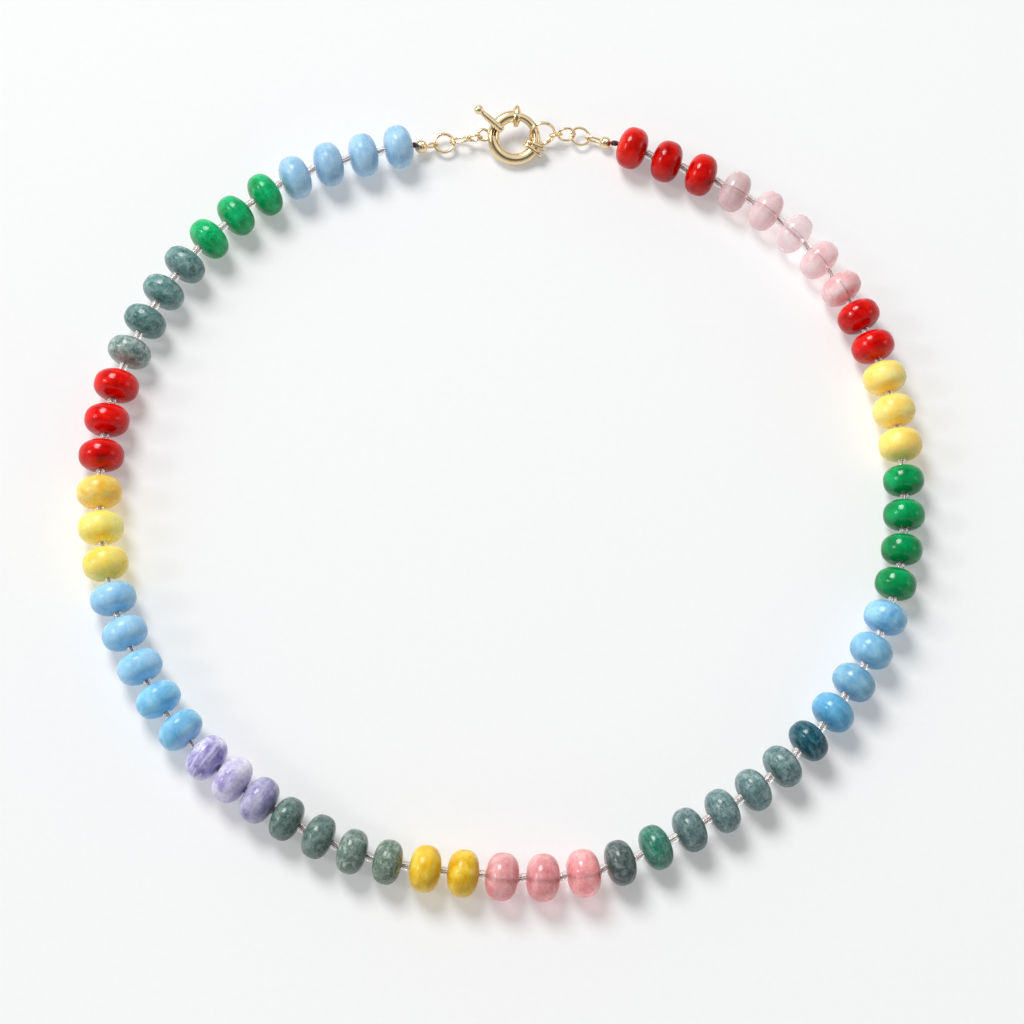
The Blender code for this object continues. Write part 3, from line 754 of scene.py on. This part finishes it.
# Metal, glass and thread
GOLD = ("gold", (242, 217, 172), 0.10)
BRIGHT_GOLD = ("bright_gold", (245, 222, 180), 0.08)
STAIN_SCALE = 500
STAIN_NOISE = (4.0, 0.6)
STAIN_RANGE = (0.35, 0.65)
STAIN_TONES = (-0.08, 0.05)
SCUFF_SCALE = 2500
SCUFF_RANGE = (0.7, 1.4)
GOLD_WAVE_SCALE = 900
GOLD_WAVE_STRENGTH = 0.12
FINE_DEPTH = 0.05 * MM
METALLIC = 0.96
GLASS_TINT_SCALE = 300
GLASS_TINTS = ((0.4, srgb(252, 246, 244)), (0.6, srgb(254, 252, 250)))
GLASS_ROUGHNESS = (0.03, 0.08)
GLASS_CLEAR = 0.82
GLASS_IOR = 1.36
GLASS_SHADOW_TINT = srgb(253, 244, 244)
GLASS_THROUGH = 0.75
FIBRE_SCALE = 6000
FIBRE_COLOURS = ((0.35, srgb(52, 16, 24)), (0.65, srgb(104, 46, 54)))
FIBRE_STRENGTH = 0.4
THREAD_ROUGHNESS = 0.6


def multiply(tree, first, second):
    return add_node(tree, "Math", {0: first, 1: second}, operation="MULTIPLY").outputs["Value"]


def painted_see_through_streak(tree, place, height, stone, across):
    """A painted soft broken line along the stone's upper half, set by the camera's view, where its
    hole and thread show through from above.
    """
    part = add_node(tree, "VectorMath", {0: place, 1: across}, operation="DOT_PRODUCT")
    aside = add_node(tree, "Math", {0: part.outputs["Value"]}, operation="ABSOLUTE")
    line = map_value(tree, aside.outputs["Value"], 0.0, stone.drill_width * MM,
                     stone.drill, 0.0, smooth=True)
    gaps = noise_value(tree, place, SEE_THROUGH_GAP_SCALE, *SEE_THROUGH_GAP_NOISE)
    broken = map_value(tree, gaps, *SEE_THROUGH_GAP_RANGE, SEE_THROUGH_LEAST, 1.0, smooth=True)
    upper = map_value(tree, height, 0.0, MM, 0.0, 1.0)
    return multiply(tree, multiply(tree, line, broken), upper)


def let_light_through(tree, shader, tint, share):
    """Some of the light that meets the piece comes out beneath it, in the piece's own colour."""
    is_shadow = add_node(tree, "LightPath").outputs["Is Shadow Ray"]
    passed = tuple(min(channel ** 0.6, 1.0) * share for channel in tint[:3])
    clear = add_node(tree, "BsdfTransparent", {"Color": (*passed, 1.0)}).outputs["BSDF"]
    mix = add_node(tree, "MixShader", {0: is_shadow, 1: shader.outputs["BSDF"], 2: clear})
    tree.links.new(mix.outputs["Shader"], tree.nodes["Material Output"].inputs["Surface"])


def make_stone(bead, across):
    """A polished stone: clouds, streaks and specks in its own coordinates, light inside it,
    painted light and shade low on its rim and a painted line where its hole shows through.

    across is the direction, set by the camera's view, that leads straight away from the painted
    line along which its hole shows through.
    """
    stone = STONES[bead.stone]._replace(**BEAD_CHANGES.get(bead.number, {}))
    tone = BEAD_TONES.get(bead.number, 0.0)
    deep, body, light, rim, vein_colour, speck_colour, drill_colour = (
        toned(srgb(*colour), tone) for colour in (
            stone.deep, stone.body, stone.light, stone.rim, stone.vein_colour,
            stone.speck_colour, stone.drill_colour))
    material, tree, shader, place = new_material(f"{bead.stone}_{bead.number}")
    height = add_node(tree, "SeparateXYZ", {"Vector": place}).outputs["Z"]
    shift = tuple(bead.number * step for step in PATTERN_SHIFT)
    local = add_node(tree, "Mapping", {"Vector": place, "Location": shift}).outputs["Vector"]

    clouds = noise_value(tree, local, 1 / (stone.cloud * MM), *CLOUD_NOISE)
    spread = CLOUD_SPREAD / stone.contrast
    colour = ramp(tree, clouds, ((0.5 - spread, deep), (0.5, body), (0.5 + spread, light)))

    drawn_out = add_node(tree, "Mapping", {"Vector": local, "Scale": STREAK_STRETCH})
    streaks = noise_value(tree, drawn_out.outputs["Vector"], stone.vein_scale, *STREAK_NOISE)
    streak_share = map_value(tree, streaks, *STREAK_RANGE, 0.0, stone.vein, smooth=True)
    colour = mix_colour(tree, streak_share, colour, vein_colour)

    specks = noise_value(tree, local, SPECK_SCALE, *SPECK_NOISE)
    speck_share = map_value(tree, specks, *SPECK_RANGE, 0.0, stone.speck, smooth=True)
    colour = mix_colour(tree, speck_share, colour, speck_colour)

    # Painted light and shade: from the middle height down the stone turns to its rim colour, a
    # painted dark outline on deep stones and painted floor light shining through on pale ones
    painted_rim_shading_share = map_value(tree, height, *(bead.radius * share for share in PAINTED_RIM_SHADING_RANGE),
                          PAINTED_RIM_SHADING_STRENGTH, 0.0, smooth=True)
    colour = mix_colour(tree, painted_rim_shading_share, colour, rim)
    # Painted see-through: a line where the hole and thread show through the stone from above
    if stone.drill:
        painted_see_through_share = painted_see_through_streak(tree, place, height, stone, across)
        colour = mix_colour(tree, painted_see_through_share, colour, drill_colour)

    polish = noise_value(tree, local, POLISH_SCALE, 2.0)
    waves = noise_value(tree, local, WAVE_SCALE, 2.0)
    set_shader(tree, shader, Base_Color=colour,
               Roughness=gloss(tree, polish, *(stone.roughness * share for share in POLISH_RANGE)),
               Normal=bumps(tree, waves, WAVE_STRENGTH, WAVE_DEPTH),
               IOR=STONE_IOR, Specular_IOR_Level=STONE_SPECULAR,
               Transmission_Weight=stone.clear, Subsurface_Weight=stone.glow,
               Subsurface_Scale=stone.glow_depth * MM,
               Subsurface_Radius=[channel ** 0.5 for channel in body[:3]])
    let_light_through(tree, shader, body, stone.through)
    return material


def make_gold(name, colour, roughness):
    material, tree, shader, place = new_material(name)
    stains = noise_value(tree, place, STAIN_SCALE, *STAIN_NOISE)
    tints = (toned(srgb(*colour), tone) for tone in STAIN_TONES)
    scuffs = noise_value(tree, place, SCUFF_SCALE, 3.0)
    waves = noise_value(tree, place, GOLD_WAVE_SCALE, 2.0)
    set_shader(tree, shader, Metallic=METALLIC,
               Base_Color=ramp(tree, stains, tuple(zip(STAIN_RANGE, tints))),
               Roughness=gloss(tree, scuffs, *(roughness * share for share in SCUFF_RANGE)),
               Normal=bumps(tree, waves, GOLD_WAVE_STRENGTH, FINE_DEPTH))
    return material


def make_glass():
    material, tree, shader, place = new_material("seed_glass")
    tint = noise_value(tree, place, GLASS_TINT_SCALE, 2.0)
    set_shader(tree, shader, Base_Color=ramp(tree, tint, GLASS_TINTS),
               Roughness=gloss(tree, tint, *GLASS_ROUGHNESS),
               Transmission_Weight=GLASS_CLEAR, IOR=GLASS_IOR)
    let_light_through(tree, shader, GLASS_SHADOW_TINT, GLASS_THROUGH)
    return material


def make_thread():
    material, tree, shader, place = new_material("thread")
    fibres = noise_value(tree, place, FIBRE_SCALE, 3.0)
    set_shader(tree, shader, Base_Color=ramp(tree, fibres, FIBRE_COLOURS),
               Roughness=THREAD_ROUGHNESS,
               Normal=bumps(tree, fibres, FIBRE_STRENGTH, FINE_DEPTH))
    return material


# Stones, seed beads and thread

def stone_mesh(bead):
    """A drilled rondelle about X, a squarish oval in section and a little uneven."""
    power = 2 / BEAD_SQUARENESS
    outer = []
    for step in range(-BEAD_STEPS, BEAD_STEPS + 1):
        share = math.radians(step * 90 / BEAD_STEPS * BEAD_PROFILE_END)
        angle = math.radians(90 * math.sin(share))
        along = bead.half * math.copysign(abs(math.sin(angle)) ** power, step)
        radius = bead.radius * max(math.cos(angle), 0.0) ** power
        if radius > HOLE_MOUTH_RADIUS:
            outer.append((along, radius))
    hole = [(-outer[0][0] + HOLE_MOUTH_RISE, HOLE_MOUTH_RADIUS * HOLE_MOUTH_TAPER)]
    hole += [(bead.half * share, HOLE_RADIUS) for share in HOLE_STEPS]
    profile = outer + hole + [(-along, radius) for along, radius in reversed(hole)]
    mesh = revolve(profile, BEAD_SIDES, f"stone_{bead.number}")
    shift = Vector([bead.number * step for step in STONE_LUMP_SHIFT])
    for vertex in mesh.vertices:
        lump = noise.noise(vertex.co / STONE_LUMP_SIZE + shift)
        vertex.co += vertex.co * (STONE_UNEVENNESS * lump)
    return mesh


def build_stones(course, beads):
    for bead in beads:
        centre, ahead, side = bead_frame(course, bead)
        axes = Matrix((ahead, side, UP)).transposed()
        across = axes.inverted() @ ahead.cross(camera_look()).normalized()
        string = "bead_string_left" if bead.number <= LEFT_BEADS else "bead_string_right"
        place_piece(f"stone_{bead.number:02d}_{bead.stone}", stone_mesh(bead),
                    make_stone(bead, across), "necklace", string,
                    Matrix.Translation(centre) @ axes.to_4x4())


def seed_profile(length):
    half = length / 2
    outer = []
    for step in range(-SEED_STEPS, SEED_STEPS + 1):
        place = step / SEED_STEPS
        swell = (SEED_RADIUS - SEED_END_RADIUS) * (1 - place ** SEED_FULLNESS)
        outer.append((half * place, SEED_END_RADIUS + swell))
    bore_end = half * SEED_BORE_END
    return outer + [(along, SEED_BORE_RADIUS) for along in (bore_end, 0.0, -bore_end)]


def join_meshes(meshes, name):
    body = bmesh.new()
    for mesh, matrix in meshes:
        part = mesh.copy()
        part.transform(matrix)
        body.from_mesh(part)
        bpy.data.meshes.remove(part)
        bpy.data.meshes.remove(mesh)
    return finish_mesh(body, name)


def build_seeds(course, beads, glass):
    seeds = {"left": [], "right": []}
    for before, after in zip(beads, beads[1:]):
        centre, ahead, _ = bead_frame(course, before)
        start = centre + ahead * (before.half - SEED_SINK)
        centre, ahead, _ = bead_frame(course, after)
        end = centre - ahead * (after.half - SEED_SINK)
        mesh = revolve(seed_profile((end - start).length), SEED_SIDES, "seed")
        side = "left" if before.number < LEFT_BEADS else "right"
        seeds[side].append((mesh, link_matrix(start, end, 0)))
    for side, meshes in seeds.items():
        name = f"seed_beads_{side}"
        place_piece(name, join_meshes(meshes, name), glass, "necklace", f"bead_string_{side}")


def thread_path(course, beads, left_tip, right_tip):
    """The corners of the thread's line, from one bead tip to the other."""
    corners = [left_tip]
    for bead in beads:
        centre, ahead, _ = bead_frame(course, bead)
        corners += [centre - ahead * bead.half, centre + ahead * bead.half]
    return corners + [right_tip]


def strand_points(corners, turn):
    points = []
    travelled = 0.0
    for start, end in zip(corners, corners[1:]):
        length = (end - start).length
        ahead = (end - start).normalized()
        side = UP.cross(ahead).normalized()
        up = ahead.cross(side)
        steps = max(1, round(length / STRAND_STEP))
        for step in range(steps):
            angle = turn + 2 * math.pi * (travelled + length * step / steps) / STRAND_PITCH
            spot = start.lerp(end, step / steps)
            points.append(spot + (side * math.cos(angle) + up * math.sin(angle)) * STRAND_OFFSET)
        travelled += length
    return points


def build_thread(path, thread):
    for number, turn in ((1, 0.0), (2, math.pi)):
        name = f"thread_strand_{number}"
        mesh = sweep(strand_points(path, turn), STRAND_RADIUS, STRAND_SIDES, name)
        obj = place_piece(name, mesh, thread, "necklace", "bead_string_left")
        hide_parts("bead_string_right")


def build_knot(name, start, end, thread, replaced):
    """Wraps of thread pulled tight between the last stone and its bead tip."""
    axes = link_matrix(start, end, 0)
    length = (end - start).length
    upright = Matrix.Rotation(math.radians(90), 4, "Y")
    wraps = []
    for wrap in KNOT_WRAPS:
        spot = Matrix.Translation(Vector(((wrap.place - 0.5) * length, 0, 0)))
        lean = Matrix.Rotation(math.radians(wrap.lean), 4, "X")
        mesh = oval_mesh(2 * wrap.radius, 2 * wrap.radius, KNOT_WIRE, KNOT_SEGMENTS, KNOT_SIDES)
        wraps.append((mesh, axes @ spot @ (upright @ lean)))
    place_piece(name, join_meshes(wraps, name), thread, "necklace", replaced)


# Links, rings and bead tips

def double_ring(link):
    """A ring of wire wound twice, side by side."""
    coils = []
    for side in (-1, 1):
        coil = oval_mesh(link.length, link.width, COIL_WIRE)
        coils.append((coil, Matrix.Translation(UP * (side * COIL_OFFSET))))
    return join_meshes(coils, link.name)


def build_links(course, links, spans, sign, gold):
    for link, span in zip(links, spans):
        near, far = ends_of(course, span, sign)
        outside = course.direction(sign * span.near).cross(UP)
        toward_clasp = near + outside * link.aside + UP * link.lift - far
        near = far + toward_clasp.normalized() * link.length
        if link.aside:
            mesh = double_ring(link)
        else:
            mesh = oval_mesh(link.length, link.width, link.wire)
        mesh.transform(link_matrix(near, far, -link.roll * sign))
        place_piece(link.name + "_wire", mesh, gold, "necklace", link.name)


def ball_mesh(radius):
    """A round tip about X, with a seam where its two halves close."""
    profile = []
    for step in range(-TIP_STEPS, TIP_STEPS + 1):
        angle = math.radians(step * TIP_REACH / TIP_STEPS)
        dip = TIP_SEAM_DEPTH * math.exp(-(step / TIP_SEAM_STEPS) ** 2)
        profile.append((radius * math.sin(angle), radius * math.cos(angle) * (1 - dip)))
    return loft(rings_along_x(profile), TUBE_SIDES)


def build_bead_tip(name, course, span, sign, ball_radius, gold):
    near, far = ends_of(course, span, sign)
    axes = link_matrix(near, far, 90)
    axes.translation = far
    hook_length = (far - near).length
    loop_length = hook_length - ball_radius / 2
    loop = oval_mesh(loop_length, HOOK_WIDTH, LINK_WIRE, HOOK_SEGMENTS)
    loop.transform(Matrix.Translation((loop_length / 2 - hook_length, 0, 0)))
    mesh = fuse(ball_mesh(ball_radius), [(loop, "UNION")])
    mesh.transform(axes)
    place_piece(name + "_shell", mesh, gold, "necklace", name)
    return far


# Clasp

def on_ring(orbit, degrees, height=0.0):
    angle = math.radians(degrees)
    return Vector((orbit * math.cos(angle), orbit * math.sin(angle), height))


def as_degrees(arc_length):
    return math.degrees(arc_length / RING_RADIUS)


def disc_rings(angle):
    """A rounded flange across the clasp's tube, longer along the ring's radius than upright."""
    outward = on_ring(1, angle)
    along = on_ring(1, angle + 90)
    rings = []
    for step in range(-FLANGE_STEPS, FLANGE_STEPS + 1):
        place = math.sin(math.radians(step * 90 / FLANGE_STEPS))
        size = FLANGE_FACE + (1 - FLANGE_FACE) * math.sqrt(max(1 - place ** 2, 0.0))
        spot = outward * RING_RADIUS + along * (FLANGE_THICKNESS / 2 * place)
        reach, depth = FLANGE_REACH * size, FLANGE_DEPTH * size
        rings.append(Ring(spot, outward, UP, reach, depth, FLANGE_POWER))
    return rings


def spindle_rings():
    """The collar at the clasp's mouth, a spindle along the ring's radius."""
    outward = on_ring(1, MOUTH_ANGLE)
    along = on_ring(1, MOUTH_ANGLE + 90)
    rings = []
    for step in range(-COLLAR_STEPS, COLLAR_STEPS + 1):
        place = math.sin(math.radians(step * 90 / COLLAR_STEPS))
        end = 1 - COLLAR_END * abs(place) ** COLLAR_ROUNDING
        size = (1 - COLLAR_TAPER * place ** 2) * end
        spot = outward * (RING_RADIUS + COLLAR_REACH * place)
        rings.append(Ring(spot, along, UP, COLLAR_WIDTH * size, COLLAR_DEPTH * size))
    return rings


def box_rings(start, end, segments, half_width, low, high):
    """Rings along the clasp's ring for a loft of four sides that starts at 45 degrees."""
    half_width *= math.sqrt(2)
    half_height = (high - low) / 2 * math.sqrt(2)
    rings = []
    for index in range(segments + 1):
        degrees = start + (end - start) * index / segments
        centre = on_ring(RING_RADIUS, degrees, (low + high) / 2)
        rings.append(Ring(centre, on_ring(1, degrees), UP, half_width, half_height))
    return rings


def clasp_matrix(course):
    right = -course.direction(0)
    heading = math.atan2(right.y, right.x)
    turned = Matrix.Rotation(heading, 4, "Z") @ Matrix.Rotation(math.radians(RING_TILT), 4, "X")
    return Matrix.Translation(course.point(0) + UP * RING_HEIGHT) @ turned


def build_clasp_ring(axes, gold):
    flange_step = as_degrees(FLANGE_PITCH / 2)
    tube_end = 360 + FLANGE_ANGLE + flange_step
    tube = loft(arc_rings(TUBE_RADIUS, MOUTH_ANGLE, tube_end, TUBE_SEGMENTS), TUBE_SIDES)
    changes = [(loft(spindle_rings(), TUBE_SIDES), "UNION")]
    for step in (flange_step, -flange_step):
        changes.append((loft(disc_rings(FLANGE_ANGLE + step), TUBE_SIDES), "UNION"))
    eyelet = oval_mesh(2 * EYELET_RADIUS, 2 * EYELET_RADIUS, EYELET_WIRE, EYELET_SEGMENTS)
    eyelet_centre = on_ring(eyelet_far_wire() - EYELET_RADIUS, EYELET_ANGLE)
    eyelet.transform(Matrix.Translation(eyelet_centre))
    changes.append((eyelet, "UNION"))
    bore_start = MOUTH_ANGLE - 2 * as_degrees(COLLAR_WIDTH)
    bore = loft(arc_rings(BORE_RADIUS, bore_start, BORE_END_ANGLE, BORE_SEGMENTS), TUBE_SIDES)
    changes.append((bore, "DIFFERENCE"))
    margin = as_degrees(STEM_RADIUS + STEM_CLEARANCE)
    slot = box_rings(STEM_ANGLE - margin, STEM_ANGLE + GATE_TRAVEL + margin, SLOT_SEGMENTS,
                     STEM_RADIUS + STEM_CLEARANCE, BORE_RADIUS / 2, TUBE_RADIUS * SLOT_TOP)
    changes.append((loft(slot, 4, first=math.pi / 4), "DIFFERENCE"))
    mesh = fuse(tube, changes)
    mesh.transform(axes)
    place_piece("clasp_ring_metal", mesh, gold, "necklace", "clasp_ring")


def trigger_rings():
    height = TUBE_RADIUS + TRIGGER_CLEARANCE + TRIGGER_RADIUS
    inner = on_ring(TRIGGER_INNER_RADIUS, TRIGGER_INNER_ANGLE, height)
    ball = on_ring(TRIGGER_BALL_ORBIT, TRIGGER_BALL_ANGLE, height)
    ahead = (ball - inner).normalized()
    length = (ball - inner).length
    side = ahead.cross(UP)
    rings = [(length * place, TRIGGER_RADIUS * size) for place, size in TRIGGER_ROWS]
    for degrees in TRIGGER_BALL_ANGLES:
        angle = math.radians(degrees)
        along = length + TRIGGER_BALL_RADIUS * math.sin(angle)
        rings.append((along, TRIGGER_BALL_RADIUS * math.cos(angle)))
    return [round_ring(inner + ahead * along, side, UP, radius) for along, radius in rings]


def build_clasp_gate(axes, gold):
    tip = FLANGE_ANGLE + as_degrees(FLANGE_PITCH / 2 + FLANGE_THICKNESS / 2 + GATE_TIP_GAP)
    root = STEM_ANGLE + as_degrees(STEM_RADIUS + STEM_CLEARANCE / 2)
    rod = loft(arc_rings(GATE_RADIUS, tip, root, GATE_SEGMENTS), TUBE_SIDES)
    top = TUBE_RADIUS + TRIGGER_CLEARANCE + TRIGGER_RADIUS
    stem = []
    for height in (0.0, top):
        centre = on_ring(RING_RADIUS, STEM_ANGLE, height)
        stem.append(round_ring(centre, Vector((1, 0, 0)), Vector((0, 1, 0)), STEM_RADIUS))
    changes = [(loft(trigger_rings(), TRIGGER_SIDES), "UNION"), (loft(stem, STEM_SIDES), "UNION")]
    mesh = fuse(rod, changes)
    mesh.transform(axes)
    place_piece("clasp_gate_metal", mesh, gold, "gate", "clasp_gate")


# Floor, light and camera

def build_floor():
    bpy.ops.mesh.primitive_plane_add(size=FLOOR_SIZE)
    floor = bpy.context.object
    floor.name = "floor"
    material, tree, shader, place = new_material("floor")
    grain = noise_value(tree, place, FLOOR_GRAIN, 2.0)
    set_shader(tree, shader, Base_Color=ramp(tree, grain, FLOOR_TONES),
               Roughness=FLOOR_ROUGHNESS, Specular_IOR_Level=0.0,
               Emission_Strength=FLOOR_GLOW, Emission_Color=FLOOR_GLOW_COLOUR)
    floor.data.materials.append(material)


def place_light(name, data, spot):
    """Stand a light at a spot, turned so that it shines towards the frame's origin."""
    light = bpy.data.objects.new(name, data)
    light.location = spot
    light.rotation_euler = Vector(spot).to_track_quat("Z", "Y").to_euler()
    bpy.context.scene.collection.objects.link(light)
    return light


def add_lamp(lamp):
    """A far soft light, as wide as its angle in degrees, that is the same all over the loop."""
    data = bpy.data.lights.new(lamp.name, "SUN")
    data.angle = math.radians(lamp.angle)
    data.energy = lamp.strength
    light = place_light(lamp.name, data, lamp.direction)
    light.visible_diffuse = lamp.on_colour
    return light


def add_key_lamp():
    """A round soft panel near the table, as strong far off as near, so that the floor is even."""
    data = bpy.data.lights.new("key_back", "AREA")
    data.shape = "DISK"
    data.size = KEY_SIZE
    data.energy = KEY_STRENGTH
    data.use_nodes = True
    tree = data.node_tree
    even = add_node(tree, "LightFalloff", {"Strength": 1.0}).outputs["Constant"]
    tree.links.new(even, tree.nodes["Emission"].inputs["Strength"])
    place_light("key_back", data, KEY_SPOT).visible_camera = False


def build_world():
    world = bpy.data.worlds.new("studio")
    world.use_nodes = True
    tree = world.node_tree
    place = add_node(tree, "TexCoord").outputs["Generated"]
    height = add_node(tree, "SeparateXYZ", {"Vector": place}).outputs["Z"]
    background = tree.nodes["Background"]
    tree.links.new(ramp(tree, height, SKY), background.inputs["Color"])
    background.inputs["Strength"].default_value = 1.0
    bpy.context.scene.world = world


def build_camera():
    turn = math.radians(CAMERA_TURN)
    look = camera_look()
    side = look.cross(UP).normalized()
    rise = side.cross(look)
    up = rise * math.cos(turn) - side * math.sin(turn)
    right = rise * math.sin(turn) + side * math.cos(turn)
    data = bpy.data.cameras.new("camera")
    data.lens = CAMERA_LENS
    data.sensor_width = CAMERA_SENSOR
    data.clip_start = CAMERA_NEAR
    camera = bpy.data.objects.new("camera", data)
    axes = Matrix((right, up, -look)).transposed().to_4x4()
    camera.matrix_world = Matrix.Translation(-look * CAMERA_DISTANCE + CAMERA_OFFSET) @ axes
    bpy.context.scene.collection.objects.link(camera)
    bpy.context.scene.camera = camera


def build_stage():
    metal = bpy.data.collections.new("metal")
    for obj in bpy.data.objects:
        if obj.name.endswith(METAL_ENDINGS):
            metal.objects.link(obj)
    build_floor()
    add_key_lamp()
    for lamp in LAMPS:
        light = add_lamp(lamp)
        if lamp.metal_only:
            light.light_linking.receiver_collection = metal
    build_world()
    build_camera()
    bpy.context.scene.view_settings.view_transform = "Standard"


def build_necklace():
    left_spans, left_reach = lay_links(
        LINKS_LEFT, eyelet_far_wire(), EYELET_WIRE,
        HOOK_LENGTH_LEFT, TIP_BALL_LEFT, THREAD_END_LEFT)
    right_spans, right_reach = lay_links(
        LINKS_RIGHT, gate_far_side(), RING_WIRE,
        HOOK_LENGTH_RIGHT, TIP_BALL_RIGHT, THREAD_END_RIGHT)
    beads, beads_end = place_beads(left_reach)
    course = Course(ROUTE_POINTS, beads_end + right_reach)

    gold = make_gold(*GOLD)
    bright_gold = make_gold(*BRIGHT_GOLD)
    thread = make_thread()

    build_stones(course, beads)
    build_seeds(course, beads, make_glass())
    build_links(course, LINKS_LEFT, left_spans, 1, gold)
    build_links(course, LINKS_RIGHT, right_spans, -1, gold)
    left_tip = build_bead_tip(
        "bead_tip_left", course, left_spans[-1], 1, TIP_BALL_LEFT, bright_gold)
    right_tip = build_bead_tip(
        "bead_tip_right", course, right_spans[-1], -1, TIP_BALL_RIGHT, bright_gold)
    path = thread_path(course, beads, left_tip, right_tip)
    build_thread(path, thread)
    first_face, last_face = path[1], path[-2]
    build_knot("knot_left", left_tip.lerp(first_face, KNOT_START), first_face, thread,
               "bead_string_left")
    build_knot("knot_right", last_face, last_face.lerp(right_tip, KNOT_END), thread,
               "bead_string_right")
    axes = clasp_matrix(course)
    build_clasp_ring(axes, gold)
    build_clasp_gate(axes, bright_gold)


build_necklace()
build_stage()
